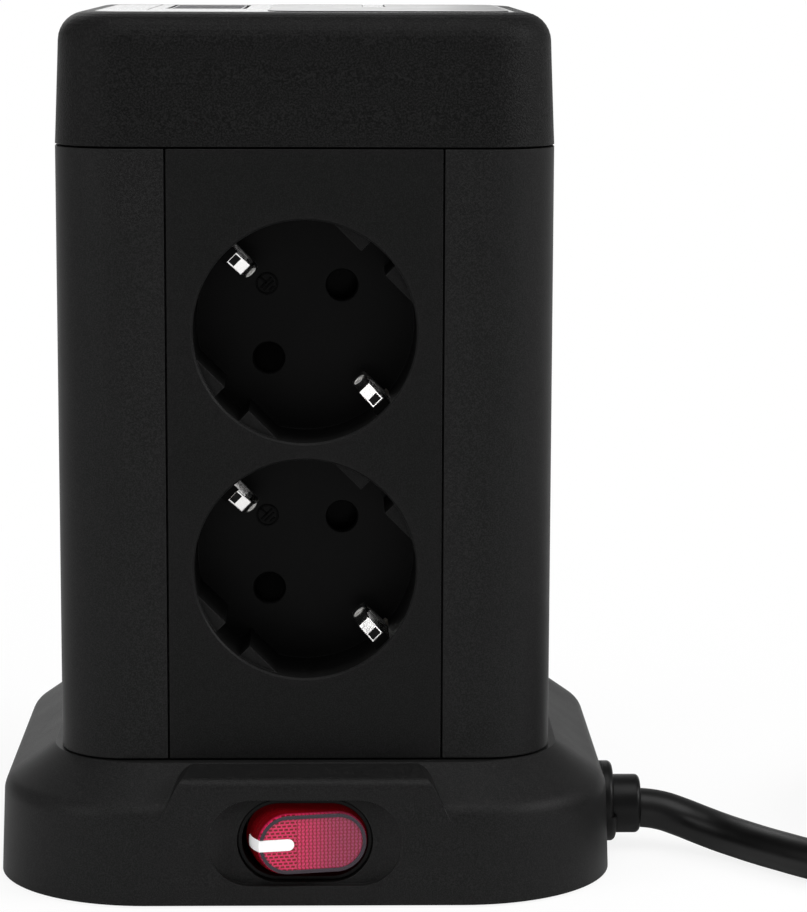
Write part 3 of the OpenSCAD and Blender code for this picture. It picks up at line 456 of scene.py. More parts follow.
@dataclass(frozen=True)
class Metal(Finish):
    """Stamped or turned metal with drawn lines along one way and a light tarnish."""

    tones: Pair = (0.88, 1.0)
    tarnish: Colour = (0.30, 0.28, 0.25)
    stretch: Point = (1.0, 1.0, 0.08)
    lines: float = 0.10 * MM
    line_rough: float = 0.14
    depth: float = 0.006 * MM
    spots: float = 0.35
    cloud: float = 2.5 * MM
    cloud_steps: Pair = (0.45, 0.8)
    cloud_rough: float = 0.12
    edge: float = 0.08 * MM

    def draw(self, graph: Graph) -> None:
        """Builds the shader.

        Args:
            graph: the material's node tree.
        """
        place = graph.place()
        along = graph.stretched(place, self.stretch)
        drawn = graph.noise(along, self.lines, detail=3.0, rough=0.6)
        mist = graph.noise(place, self.cloud, detail=4.0, rough=0.65)
        cloud = graph.step(mist, *self.cloud_steps)
        base = graph.blend(cloud * self.spots, self.toned(graph, drawn), self.tarnish)
        rough = self.roughness + drawn.swing(self.line_rough) + cloud * self.cloud_rough
        relief = graph.bump(drawn, self.depth, graph.rounded(self.edge))
        graph.surface(base, rough, relief, {"Metallic": 1.0})


@dataclass(frozen=True)
class PrintedInk(Finish):
    """White ink on plastic, a little uneven at its edge."""

    tones: Pair = (0.94, 1.0)
    patch: float = 0.4 * MM
    patch_rough: float = 0.1
    depth: float = 0.01 * MM

    def draw(self, graph: Graph) -> None:
        """Builds the shader.

        Args:
            graph: the material's node tree.
        """
        cover = graph.noise(graph.place(), self.patch, detail=3.0)
        rough = self.roughness + cover.swing(self.patch_rough)
        graph.surface(self.toned(graph, cover), rough, graph.bump(cover, self.depth))


@dataclass(frozen=True)
class PaleMoulding(Finish):
    """Unpainted inner moulding: milky plastic with soft flow lines."""

    tones: Pair = (0.88, 1.0)
    stretch: Point = (1.0, 1.0, 0.3)
    flow: float = 4 * MM
    flow_rough: float = 0.12
    grain: float = 0.3 * MM
    depth: float = 0.012 * MM
    edge: float = 0.1 * MM

    def draw(self, graph: Graph) -> None:
        """Builds the shader.

        Args:
            graph: the material's node tree.
        """
        place = graph.place()
        flow = graph.noise(graph.stretched(place, self.stretch), self.flow, detail=4.0)
        grain = graph.noise(place, self.grain)
        rough = self.roughness + flow.swing(self.flow_rough)
        relief = graph.bump(grain, self.depth, graph.rounded(self.edge))
        graph.surface(self.toned(graph, flow), rough, relief)


@dataclass(frozen=True)
class Tracks:
    """Parallel copper tracks with breaks: two pitches, and the bare share of each."""

    pitch: float
    bare: float
    break_pitch: float
    break_bare: float
    blur: Pair = (0.08, 0.04)

    def mask(self, graph: Graph, across: Wire, along: Wire) -> Wire:
        """Draws the tracks.

        Args:
            graph: the material's node tree.
            across: the place across the tracks.
            along: the place along them.

        Returns:
            One on copper, zero elsewhere.
        """
        lines = graph.step(across.wave(self.pitch), self.bare, self.bare + self.blur[0])
        cuts = along.wave(self.break_pitch)
        return lines * graph.step(cuts, self.break_bare, self.break_bare + self.blur[1])


@dataclass(frozen=True)
class CircuitBoard(Finish):
    """Lacquered board with copper tracks under the lacquer."""

    tones: Pair = (0.85, 1.1)
    copper: Colour = (0.10, 0.32, 0.10)
    cross_tracks: Tracks = Tracks(2.4 * MM, 0.62, 15 * MM, 0.2)
    long_tracks: Tracks = Tracks(3.1 * MM, 0.72, 11 * MM, 0.5)
    depth: float = 0.03 * MM
    fibre: float = 0.5 * MM
    fibre_rough: float = 0.1

    def draw(self, graph: Graph) -> None:
        """Builds the shader.

        Args:
            graph: the material's node tree.
        """
        place = graph.place()
        x, y, _ = graph.axes(place)
        track = self.cross_tracks.mask(graph, x, y).most(self.long_tracks.mask(graph, y, x))
        fibre = graph.noise(place, self.fibre)
        base = graph.blend(track, self.toned(graph, fibre), self.copper)
        rough = self.roughness + fibre.swing(self.fibre_rough)
        graph.surface(base, rough, graph.bump(track, self.depth))


@dataclass(frozen=True)
class RockerLens(Finish):
    """Tinted clear lens: dashes at the marked end, zigzag prisms over the rest.

    Its colour is painted darker from the marked end towards the other, and on its sides, as
    painted shade.
    """

    pivot: Point = (0.0, -48.83 * MM, 11.6 * MM)
    lean: float = math.radians(11)
    face: float = 7.3 * MM
    face_bevel: Pair = (0.9 * MM, 0.1 * MM)
    deep: Colour = (0.075, 0.0008, 0.0020)
    groove_tone: float = 1.6
    side_shade_tone: float = 1.2
    # the lens's colour at its far end: painted shade
    shaded_end: Colour = (0.20, 0.030, 0.075)
    shaded_end_steps: Pair = (-8 * MM, 7 * MM)
    glow: float = 0.25
    cloud: float = 1.6 * MM
    cloud_share: float = 0.35
    cloud_tone: float = 0.6
    row_pitch: float = 0.62 * MM
    row_shift: float = 0.37 * MM
    dash_pitch: float = 0.95 * MM
    dash_steps: Pair = (0.2, 0.4)
    dash_row_steps: Pair = (0.3, 0.55)
    dash_share: float = 0.85
    prism_start: float = -2.9 * MM
    prism_pitch: float = 0.69 * MM
    prism_steps: Pair = (0.0, 0.55)
    prism_row_steps: Pair = (0.45, 0.8)
    prism_row_share: float = 0.4
    zigzag_pitch: float = 0.9 * MM
    zigzag_span: float = 0.22 * MM
    depth: float = 0.04 * MM
    groove_rough: float = 0.15
    gloss: float = 0.3
    coat: float = 0.25
    coat_roughness: float = 0.08

    def own_axes(self, graph: Graph, place: Wire) -> tuple[Wire, Wire, Wire]:
        """Turns a place into the rocker's own axes.

        Args:
            graph: the material's node tree.
            place: the point on the piece.

        Returns:
            How far it lies along the rocker, up it, and out of it, from the axle.
        """
        x, y, z = graph.axes(place)
        cos, sin = math.cos(self.lean), math.sin(self.lean)
        back = y - self.pivot[1]
        return x * cos + back * sin, z - self.pivot[2], x * sin - back * cos

    def relief(self, graph: Graph, run: Wire, rise: Wire) -> Wire:
        """Draws what is moulded inside the lens.

        Args:
            graph: the material's node tree.
            run: the place along the rocker.
            rise: the place up it.

        Returns:
            One where the lens is lit, zero in its grooves.
        """
        row = rise.wave(self.row_pitch)
        offset = graph.maths("FLOOR", rise / self.row_pitch) * self.row_shift
        dash = graph.step((run + offset).wave(self.dash_pitch), *self.dash_steps)
        dash = dash * graph.step(row, *self.dash_row_steps)
        zigzag = rise.wave(self.zigzag_pitch).swing(self.zigzag_span)
        prism = graph.step((run + zigzag).wave(self.prism_pitch), *self.prism_steps)
        prism = prism * (1 - graph.step(row, *self.prism_row_steps) * self.prism_row_share)
        left = run < self.prism_start
        return left * (1 - dash) * self.dash_share + (1 - left) * prism

    def draw(self, graph: Graph) -> None:
        """Builds the shader.

        Args:
            graph: the material's node tree.
        """
        place = graph.place()
        run, rise, out = self.own_axes(graph, place)
        front = graph.step(out, *(self.face - step for step in self.face_bevel))
        pattern = 1 - front * (1 - self.relief(graph, run, rise))
        # painted shade: the lens darkens from the marked end towards the other
        lit = graph.blend(graph.step(run, *self.shaded_end_steps), self.colour, self.shaded_end)
        cloud = graph.noise(place, self.cloud) * self.cloud_share
        lit = graph.blend(cloud, lit, shade(self.colour, self.cloud_tone))
        base = graph.blend(pattern, shade(self.deep, self.groove_tone), lit)
        # the sides take the deep red as painted shade
        base = graph.blend(front, shade(self.deep, self.side_shade_tone), base)
        others = {
            "Emission Color": base,
            "Emission Strength": self.glow,
            "Specular IOR Level": self.gloss,
            "Coat Weight": self.coat,
            "Coat Roughness": self.coat_roughness,
        }
        rough = self.roughness + (1 - pattern) * self.groove_rough
        graph.surface(base, rough, graph.bump(pattern, self.depth), others)


SHELL = MouldedPlastic("shell_plastic", grey(0.0074), 0.48, gloss=0.105)
# panel: edges fully lightened, partly wear and partly painted highlight on the wells' rims; its
# face darkens the wells with painted shade
PANEL = MouldedPlastic(
    "panel_plastic", grey(0.0050), 0.48, grain=0.2 * MM, depth=0.012 * MM, gloss=0.09,
    edge_wear_and_highlight_share=1.0, face=WELLS.face
)
CAP = MouldedPlastic(
    "cap_plastic", grey(0.0028), 0.50, grain=0.3 * MM, depth=0.12 * MM, grain_shading=1.0, gloss=0.11
)
LID = MouldedPlastic(
    "lid_plastic", grey(0.0050), 0.17, grain=0.4 * MM, depth=0.0006 * MM, grain_shading=0.2,
    gloss=0.62, dust=0.03
)
SWITCH = MouldedPlastic(
    "switch_plastic", grey(0.002), 0.30, grain=0.15 * MM, depth=0.004 * MM, grain_shading=0.1, gloss=0.10
)
# near black, far darker than the panel: painted shade behind the pin holes; the clips' lips take
# it too
SHADE_BLACK = MouldedPlastic(
    "shade_black_plastic", grey(0.0006), 0.42, grain=0.2 * MM, depth=0.01 * MM, grain_shading=0.2, gloss=0.03
)
# signs a darker black than the panel, as painted shade on the wells' floors
SHADED_SIGN = MouldedPlastic(
    "sign_plastic_shaded", grey(0.0012), 0.40, grain=0.2 * MM, depth=0.004 * MM, grain_shading=0.1,
    gloss=0.045, edge_wear_and_highlight_share=0.0
)
RIM = MouldedPlastic(
    "rim_plastic", (0.040, 0.032, 0.040), 0.38, grain=0.15 * MM, depth=0.004 * MM, grain_shading=0.1
)
GLAND = SoftRubber("gland_rubber", grey(0.0022), 0.36, bloom=0.1, gloss=0.16)
SHEATH = SoftRubber("cord_sheath", grey(0.0018), 0.36, bloom=0.08, gloss=0.26)
PLUG = SoftRubber("plug_rubber", grey(0.0045), 0.45, depth=0.02 * MM)
PAD_RUBBER = SoftRubber(
    "pad_rubber", grey(0.012), 0.30, bloom=0.2, gloss=0.35, depth=0.001 * MM
)
TIE = SoftRubber("tie_strap", grey(0.008), 0.6, bloom=0.4)
FOOT_RUBBER = SoftRubber("foot_rubber", grey(0.016), 0.7, bloom=0.5)
WIRE_SKIN = SoftRubber("wire_skin", (0.35, 0.12, 0.05), 0.4)
CLIP_STEEL = Metal(
    "clip_steel", (0.92, 0.91, 0.90), 0.16, lines=0.3 * MM, spots=0.1, edge=0.3 * MM
)
EDGE_STEEL = Metal("edge_steel", (0.42, 0.42, 0.41), 0.28)
CLIP_SHADE_STEEL = Metal("clip_shade_steel", grey(0.010), 0.5, tarnish=grey(0.03), spots=0.6)
SCREW_STEEL = Metal("screw_steel", (0.50, 0.49, 0.47), 0.32)
PORT_STEEL = Metal("port_steel", (0.62, 0.62, 0.63), 0.28)
COLLAR_STEEL = Metal("collar_steel", (0.28, 0.28, 0.29), 0.34)
PIN_METAL = Metal("pin_metal", (0.72, 0.70, 0.64), 0.2)
BRASS = Metal("contact_brass", (0.78, 0.56, 0.25), 0.3, tarnish=(0.32, 0.19, 0.08))
WHITE = PrintedInk("mark_white", grey(0.97), 0.42)
IVORY = PaleMoulding("inner_white", (0.62, 0.59, 0.52), 0.5)
LAMP_GLASS = PaleMoulding("lamp_glass", (0.70, 0.20, 0.05), 0.2)
BOARD = CircuitBoard("board_green", (0.02, 0.12, 0.05), 0.35)
LENS = RockerLens("rocker_lens", (0.62, 0.020, 0.095), 0.2)


# Meshes


def link(name: str, data: bpy.types.ID) -> bpy.types.Object:
    """Puts data into the scene.

    Args:
        name: the new object's name.
        data: its mesh, curve, light or camera.

    Returns:
        The object, at the origin.
    """
    made = bpy.data.objects.new(name, data)
    bpy.context.scene.collection.objects.link(made)
    return made


def metres(point: Point) -> Point:
    """A point in metres, from one in millimetres."""
    return (point[0] * MM, point[1] * MM, point[2] * MM)


def circle(sides: int) -> list[Pair]:
    """Cosine and sine of evenly spaced angles, once round."""
    angles = [math.tau * i / sides for i in range(sides)]
    return [(math.cos(angle), math.sin(angle)) for angle in angles]


def box_outline(half_x: float, half_y: float, at: Pair = (0.0, 0.0)) -> list[Pair]:
    """The four corners of a rectangle about a point."""
    signs = ((-1, -1), (1, -1), (1, 1), (-1, 1))
    return [(at[0] + sign_x * half_x, at[1] + sign_y * half_y) for sign_x, sign_y in signs]


class Shape:
    """A mesh under construction, made of closed forms."""

    def __init__(self) -> None:
        """Starts empty."""
        self.mesh = bmesh.new()

    def skin(self, rings: Sequence[Sequence[Vector]], closed: bool = False) -> None:
        """Joins rings of equal length into one closed tube.

        Args:
            rings: the rings, in order.
            closed: joins the last ring to the first, instead of capping both ends.
        """
        made = [[self.mesh.verts.new(point) for point in ring] for ring in rings]
        count = len(made[0])
        following = made[1:] + made[:1] if closed else made[1:]
        for low, high in zip(made, following):
            for i in range(count):
                j = (i + 1) % count
                self.mesh.faces.new((low[i], low[j], high[j], high[i]))
        if not closed:
            self.mesh.faces.new(reversed(made[0]))
            self.mesh.faces.new(made[-1])

    def prism(self, outline: Sequence[Pair], low: float, high: float, turn: Matrix) -> None:
        """Extrudes an outline in x and y from z = low to z = high, moved by turn."""
        self.skin([[turn @ Vector((x, y, z)) for x, y in outline] for z in (low, high)])

    def lathe(self, profile: Sequence[Pair], turn: Matrix, sides: int = 48) -> None:
        """Turns a closed profile of (radius, height) round the z axis of turn."""
        ways = circle(sides)
        self.skin([[turn @ Vector((r * c, r * s, z)) for r, z in profile] for c, s in ways], True)

    def tube(self, path: Sequence[Vector], radius: float, sides: int = 8) -> None:
        """Makes a closed round bead along a bent line.

        Args:
            path: the line's points.
            radius: the bead's radius.
            sides: the points of its cross-section.
        """
        rings = []
        across = (path[1] - path[0]).normalized().orthogonal()
        for before, point, after in zip([path[0], *path], path, [*path[1:], path[-1]]):
            ahead = (after - before).normalized()
            across = (across - ahead * across.dot(ahead)).normalized()
            side = ahead.cross(across)
            rings.append([point + (across * c + side * s) * radius for c, s in circle(sides)])
        self.skin(rings)

    def piece(self, name: str, smooth: float = math.radians(35)) -> bpy.types.Object:
        """Ends the mesh and links it as an object.

        Args:
            name: the object's name.
            smooth: edges that turn less than this look round.

        Returns:
            The object, at the origin.
        """
        bmesh.ops.recalc_face_normals(self.mesh, faces=self.mesh.faces)
        data = bpy.data.meshes.new(name)
        self.mesh.to_mesh(data)
        self.mesh.free()
        data.set_sharp_from_angle(angle=smooth)
        return link(name, data)


def top_of(name: str) -> float:
    """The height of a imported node's highest point."""
    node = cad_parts[name]
    return max((node.matrix_world @ Vector(corner)).z for corner in node.bound_box)


def paint(finish: Finish, *names: str) -> None:
    """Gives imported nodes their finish.

    Args:
        finish: the finish.
        names: the nodes' names.
    """
    for name in names:
        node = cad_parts[name]
        if not node.material_slots:
            node.data.materials.append(finish.material())
        for held in node.material_slots:
            held.material = finish.material()
        LOG.info("painted %s with %s", name, finish.name)


def fit_piece(
    made: bpy.types.Object, finish: Finish, body: str = "root", nodes: Sequence[str] = ()
) -> None:
    """Finishes a new piece and lets it ride.

    Args:
        made: the piece, in place.
        finish: its finish.
        body: the body that it moves with.
        nodes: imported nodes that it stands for.
    """
    made.data.materials.clear()
    made.data.materials.append(finish.material())
    if nodes:
        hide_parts(*nodes)
    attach(made, body)
    LOG.info("fitted %s", made.name)


# Camera, light and floor


@dataclass(frozen=True)
class Lamp:
    """A square soft lamp that looks at the column's middle."""

    name: str
    at: Point
    size: float
    power: float
    aim: Point = (0.0, 0.0, 0.08)

    def build(self) -> None:
        """Hangs the lamp where the camera doesn't see it."""
        data = bpy.data.lights.new(self.name, "AREA")
        data.shape = "SQUARE"
        data.size = self.size
        data.energy = self.power
        lamp = link(self.name, data)
        lamp.location = self.at
        lamp.rotation_mode = "QUATERNION"
        lamp.rotation_quaternion = (Vector(self.aim) - Vector(self.at)).to_track_quat("-Z", "Y")
        lamp.visible_camera = False


@dataclass
class Studio:
    """The photograph's viewpoint, in soft even light on a pale floor."""

    eye: Point = (4.39 * MM, -614.73 * MM, 168.77 * MM)
    pitch: float = math.radians(8.88)
    yaw: float = math.radians(1.325)
    roll: float = math.radians(0.198)
    focal_pixels: float = 3235.5
    frame_pixels: float = 912.0
    sensor: float = 36.0
    near: float = 0.02
    ambient: float = 0.5
    dim: float = 0.3
    backdrop_ahead: Pair = (0.75, 0.97)
    backdrop_rise: Pair = (0.12, 0.30)
    floor_half: float = 2.5
    floor_top: float = -0.02 * MM
    floor_base: float = -20 * MM
    paper: Colour = (0.86, 0.86, 0.86)
    floor_share: float = 0.86
    shadow_reach: Pair = (0.10, 0.34)
    mirror_reach: Pair = (0.0, 0.5)
    lamps: tuple[Lamp, ...] = (
        Lamp("lamp_above", (0.05, -0.30, 0.85), size=0.6, power=3.1),
        Lamp("lamp_left", (-0.82, -0.58, 0.50), size=0.5, power=3.0),
        Lamp("lamp_right", (0.92, -0.30, 0.60), size=0.5, power=6.5),
        Lamp("lamp_behind", (-0.2, 0.95, 0.55), size=0.6, power=2.0),
    )

    def camera_turn(self) -> Matrix:
        """Works out the camera's rotation from its pitch, yaw and roll.

        Returns:
            The matrix whose columns point right, up and back from the camera.
        """
        ahead = Vector(
            (
                math.sin(self.yaw) * math.cos(self.pitch),
                math.cos(self.yaw) * math.cos(self.pitch),
                -math.sin(self.pitch),
            )
        )
        level = Vector((math.cos(self.yaw), -math.sin(self.yaw), 0.0))
        up = level.cross(ahead)
        right = level * math.cos(self.roll) + up * math.sin(self.roll)
        above = up * math.cos(self.roll) - level * math.sin(self.roll)
        return Matrix((right, above, -ahead)).transposed().to_4x4()

    def add_camera(self) -> None:
        """Puts the camera where the photograph was taken from."""
        data = bpy.data.cameras.new("photo_camera")
        data.sensor_width = self.sensor
        data.lens = self.focal_pixels / self.frame_pixels * self.sensor
        data.clip_start = self.near
        camera = link("photo_camera", data)
        camera.matrix_world = Matrix.Translation(self.eye) @ self.camera_turn()
        bpy.context.scene.camera = camera

    @staticmethod
    def rays(graph: Graph) -> tuple[Wire, Wire]:
        """Tells rays apart.

        Args:
            graph: a node tree of the studio.

        Returns:
            Two masks: camera rays, and glossy or transmission rays.
        """
        camera = graph.node("ShaderNodeLightPath", output="Is Camera Ray")
        glossy, through = graph.beside(camera, "Is Glossy Ray", "Is Transmission Ray")
        return camera, glossy.most(through)

    def add_world(self) -> None:
        """A white surround for what is seen, and even light for the rest."""
        world = bpy.data.worlds.new("studio_world")
        bpy.context.scene.world = world
        world.use_nodes = True
        graph = Graph(world.node_tree)
        camera, mirrored = self.rays(graph)
        way = graph.node("ShaderNodeTexCoord", output="Generated")
        _, ahead, above = graph.axes(way)
        low = 1 - graph.step(abs(above), *self.backdrop_rise)
        backdrop = graph.step(ahead, *self.backdrop_ahead) * low
        reflected = self.dim + (1 - self.dim) * backdrop
        unseen = mirrored * reflected + (1 - mirrored) * self.ambient
        strength = camera + (1 - camera) * unseen
        light = graph.node("ShaderNodeBackground", {}, {"Color": grey(1.0), "Strength": strength})
        graph.node("ShaderNodeOutputWorld", {}, {"Surface": light})

    def paper_material(self) -> bpy.types.Material:
        """Makes the floor's paper, which turns white away from the object.

        Returns:
            The material.
        """
        material = bpy.data.materials.new("floor_paper")
        material.use_nodes = True
        graph = Graph(material.node_tree)
        paper = graph.node("ShaderNodeBsdfDiffuse", {}, {"Color": self.paper})
        white = graph.node("ShaderNodeEmission", {}, {"Color": grey(1.0), "Strength": 1.0})
        camera, mirrored = self.rays(graph)
        x, y, _ = graph.axes(graph.place())
        beyond = graph.step(graph.maths("SQRT", x * x + y * y), *self.shadow_reach)
        white_share = self.floor_share + (1 - self.floor_share) * beyond
        share = camera * white_share + mirrored * graph.step(y, *self.mirror_reach)
        both = graph.node("ShaderNodeMixShader", {}, {0: share, 1: paper, 2: white})
        graph.node("ShaderNodeOutputMaterial", {}, {"Surface": both})
        return material

    def add_floor(self) -> None:
        """A wide pale floor that keeps a faint shadow."""
        shape = Shape()
        outline = box_outline(self.floor_half, self.floor_half)
        shape.prism(outline, self.floor_base, self.floor_top, Matrix())
        floor = shape.piece("studio_floor")
        floor.data.materials.append(self.paper_material())

    def build(self) -> None:
        """Sets up camera, world, floor and lamps."""
        bpy.context.scene.view_settings.view_transform = "Standard"
        self.add_camera()
        self.add_world()
        self.add_floor()
        for lamp in self.lamps:
            lamp.build()


# Lead and plug


@dataclass
class MainsLead:
    """The free lead: from the collar along the floor, six loops, and up into the plug.

    Its diameter and length are in metres. Its routes and its coil are in millimetres.
    """

    diameter: float = 7.5 * MM
    length: float = 1.8
    lead_route: tuple[Point, ...] = (
        (56.4, -17, 7.6), (63.3, -17, 7.6), (67.4, -17.3, 7.1), (71.2, -18.5, 6.1),
        (74.8, -20.5, 5.1), (78.4, -23.1, 4.3), (81.8, -26.4, 3.9), (85.4, -30.7, 3.75),
        (88.8, -34.8, 3.75), (92.2, -38.8, 3.75), (96.5, -43.2, 3.75), (102.5, -47.8, 3.75),
        (110.5, -51.8, 3.75), (120.5, -54.5, 3.75), (133, -55.6, 3.75), (144, -55.7, 3.75),
        (154.5, -55.7, 3.75),
    )
    tail_route: tuple[Point, ...] = (
        (169.5, -55.7, 11.85), (176, -56.1, 11.5), (184, -57, 10), (193, -56.9, 7.9),
        (203, -54, 5.6), (212, -48.5, 4.2), (220, -39.5, 3.75), (226, -28, 3.75),
        (229.5, -15, 4), (230.5, -4, 5.4), (230.5, 6, 7), (230.5, 16, 7.2),
    )
    coil_centre: Pair = (162.0, -2.0)
    coil_radius: float = 53.7
    coil_pitch: float = 8.1
    coil_loops: int = 3
    coil_steps: int = 20
    climb_turns: float = 0.5
    bevel_steps: int = 6
    curve_steps: int = 4

    @property
    def exit(self) -> Point:
        """Where the lead leaves the collar, in metres."""
        return metres(self.lead_route[0])

    @property
    def end(self) -> Point:
        """Where the lead goes into the plug's neck, in metres."""
        return metres(self.tail_route[-1])

    def coil_point(self, turns: float) -> Point:
        """Follows the coil: in on the floor, out on the layer above.

        Args:
            turns: how many loops of the two layers lie behind the point.

        Returns:
            The point, in millimetres.
        """
        loops = self.coil_loops
        radius = self.coil_radius - self.coil_pitch * min(turns, 2 * loops - turns)
        climb = min(max((turns - loops) / self.climb_turns + 0.5, 0.0), 1.0)
        angle = math.tau * turns - math.pi / 2
        return (
            self.coil_centre[0] + radius * math.cos(angle),
            self.coil_centre[1] + radius * math.sin(angle),
            self.diameter / MM / 2 + self.coil_pitch * climb * climb * (3 - 2 * climb),
        )

    def route(self) -> list[Vector]:
        """Strings the lead's stretches together.

        Returns:
            All points of the centreline, in metres.
        """
        count = 2 * self.coil_loops * self.coil_steps
        coil = [self.coil_point(i / self.coil_steps) for i in range(count + 1)]
        return [Vector(p) * MM for p in [*self.lead_route, *coil, *self.tail_route]]

    def curve(self) -> bpy.types.Curve:
        """Draws the sheath as one smooth round curve.

        Returns:
            The curve.
        """
        points = self.route()
        curve = bpy.data.curves.new("mains_lead", "CURVE")
        curve.dimensions = "3D"
        curve.bevel_depth = self.diameter / 2
        curve.bevel_resolution = self.bevel_steps
        curve.resolution_u = self.curve_steps
        curve.use_fill_caps = True
        spline = curve.splines.new("BEZIER")
        spline.bezier_points.add(len(points) - 1)
        for knot, point in zip(spline.bezier_points, points):
            knot.co = point
            knot.handle_left_type = knot.handle_right_type = "AUTO"
        return curve

    def build(self) -> None:
        lead = link("mains_lead", self.curve())
        fit_piece(lead, SHEATH, nodes=("cord_lead", "cord_coil", "cord_tail"))


@dataclass
class CoilTie:
    """A strap round the loops, where the turns lie side by side."""

    centre: Point
    bearing: float = math.radians(118)
    inner: float = 24.6 * MM
    outer: float = 58.2 * MM
    low: float = 0.15 * MM
    high: float = 16.4 * MM
    corner: float = 5.5 * MM
    corner_steps: int = 6
    thickness: float = 0.7 * MM
    width: float = 12 * MM
    floor_gap: float = 0.05 * MM

    def section(self, x: float, z: float, angle: float) -> list[Vector]:
        """Cuts the strap at one place of a rounded corner.

        Args:
            x: the corner's centre, as a distance from the coil's middle.
            z: the height of that centre.
            angle: the way from that centre to the strap.

        Returns:
            The four points of the cut, which stay above the floor.
        """
        points = []
        half = self.width / 2
        inside, outside = self.corner, self.corner + self.thickness
        for radius, y in ((inside, -half), (outside, -half), (outside, half), (inside, half)):
            height = max(z + radius * math.sin(angle), self.floor_gap)
            points.append(Vector((x + radius * math.cos(angle), y, height)))
        return points

    def build(self) -> None:
        """Straps the coil."""
        turn = Matrix.Translation(self.centre) @ Matrix.Rotation(self.bearing, 4, "Z")
        near, far = self.inner + self.corner, self.outer - self.corner
        base, top = self.low + self.corner, self.high - self.corner
        rings = []
        for x, z, start in ((near, base, 180), (far, base, 270), (far, top, 0), (near, top, 90)):
            for i in range(self.corner_steps + 1):
                angle = math.radians(start + 90 * i / self.corner_steps)
                rings.append([turn @ point for point in self.section(x, z, angle)])
        shape = Shape()
        shape.skin(rings, closed=True)
        fit_piece(shape.piece("coil_tie"), TIE)


@dataclass
class MainsPlug:
    """The moulded plug with its ribbed neck. Ribs lie at shares of the neck's length."""

    neck_start: Point
    neck_length: float = 30 * MM
    radii: Pair = (4.6 * MM, 7.0 * MM)
    ribs: int = 6
    first_rib: float = 0.06
    rib_pitch: float = 0.11
    rib_profile: tuple[Pair, ...] = (
        (-0.3 * MM, 0.0), (0.2 * MM, 0.0), (0.55 * MM, 0.5 * MM),
        (0.55 * MM, 1.3 * MM), (0.3 * MM, 1.8 * MM), (-0.3 * MM, 1.8 * MM),
    )
    rib_sides: int = 40

    def build(self) -> None:
        """Dresses the plug and adds the ribs of its neck."""
        paint(PLUG, "plug_body")
        paint(PIN_METAL, "plug_pins")
        paint(CLIP_STEEL, "plug_earth")
        shape = Shape()
        base = Matrix.Translation(self.neck_start) @ Matrix.Rotation(math.radians(-90), 4, "X")
        for i in range(self.ribs):
            at = self.neck_length * (self.first_rib + self.rib_pitch * i)
            radius = self.radii[0] + (self.radii[1] - self.radii[0]) * at / self.neck_length
            profile = [(radius + rise, at + along) for rise, along in self.rib_profile]
            shape.lathe(profile, base, self.rib_sides)
        fit_piece(shape.piece("plug_neck_ribs"), PLUG)


# Foot, switch, column and cap


@dataclass
class Foot:
    """The wide foot with its plate, pads, screws and outlet collar."""

    def build(self) -> None:
        """Dresses the foot."""
        paint(SHELL, "base_housing", "base_plate")
        paint(FOOT_RUBBER, "rubber_feet")
        paint(SCREW_STEEL, "base_screws", "clamp_screws")
        paint(SWITCH, "cord_clamp")
        paint(GLAND, "gland_upper", "gland_lower")


@dataclass
class Switch:
    """The lit rocker switch in its dish."""

    mark_scale: float = 0.997

    def add_mark(self) -> None:
        """The white bar, a hair nearer the axle, so that it clears the case when tilted."""
        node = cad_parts["rocker_mark"]
        data = node.data.copy()
        data.name = "mark_bar"
        data.transform(node.matrix_world)
        axle = Matrix.Translation(LENS.pivot)
        data.transform(axle @ Matrix.Scale(self.mark_scale, 4) @ axle.inverted())
        fit_piece(link("mark_bar", data), WHITE, "rocker", ["rocker_mark"])

    def build(self) -> None:
        """Dresses the switch."""
        paint(SWITCH, "switch_case")
        paint(BRASS, "switch_terminals")
        paint(LENS, "rocker_body")
        paint(RIM, "rocker_rim")
        self.add_mark()
        paint(LAMP_GLASS, "indicator_lamp")


class Side(Enum):
    """The four sides of the column, by their quarter turns from the front."""

    FRONT = 0
    RIGHT = 1
    BACK = 2
    LEFT = 3

    @property
    def label(self) -> str:
        """The side's word in the names of nodes."""
        return self.name.lower()

    @property
    def turn(self) -> Matrix:
        """The turn that takes the front to this side."""
        return Matrix.Rotation(math.radians(90 * self.value), 4, "Z")


@dataclass
class EarthSigns:
    """A raised earth sign in a ring on each well's floor.

    The sign's bars are pairs of a place up the sign and a half length.
    """

    side: Side
    at: Pair = (-7.0 * MM, 6.9 * MM)
    tilt: float = math.radians(45)
    radius: float = 1.87 * MM
    half_line: float = 0.17 * MM
    relief: float = 0.22 * MM
    base: float = -0.1 * MM
    stem: Pair = (1.02 * MM, 0.8 * MM)
    bars: tuple[Pair, ...] = (
        (0.26 * MM, 1.37 * MM), (-0.43 * MM, 1.16 * MM), (-1.2 * MM, 0.6 * MM)
    )

    def floor_frame(self, centre: float) -> Matrix:
        """Places a sign.

        Args:
            centre: the height of the well's middle.

        Returns:
            The sign's frame on the well's floor, with z out of the floor.
        """
        across, above = self.at
        place = Matrix.Translation((across, -WELLS.face + WELLS.depth, centre + above))
        flat = Matrix.Rotation(math.radians(90), 4, "X")
        return self.side.turn @ place @ flat @ Matrix.Rotation(self.tilt, 4, "Z")

    def build(self) -> None:
        """Raises the ring, the stem and the bars of each sign."""
        shape = Shape()
        line = self.half_line
        outlines = [box_outline(line, self.stem[1], (0.0, self.stem[0]))]
        outlines += [box_outline(half, line, (0.0, y)) for y, half in self.bars]
        near, far = self.radius - line, self.radius + line
        ring = [(near, self.base), (near, self.relief), (far, self.relief), (far, self.base)]
        for centre in WELLS.centres:
            turn = self.floor_frame(centre)
            shape.lathe(ring, turn)
            for outline in outlines:
                shape.prism(outline, self.base, self.relief, turn)
        fit_piece(shape.piece(f"earth_signs_{self.side.label}"), SHADED_SIGN)


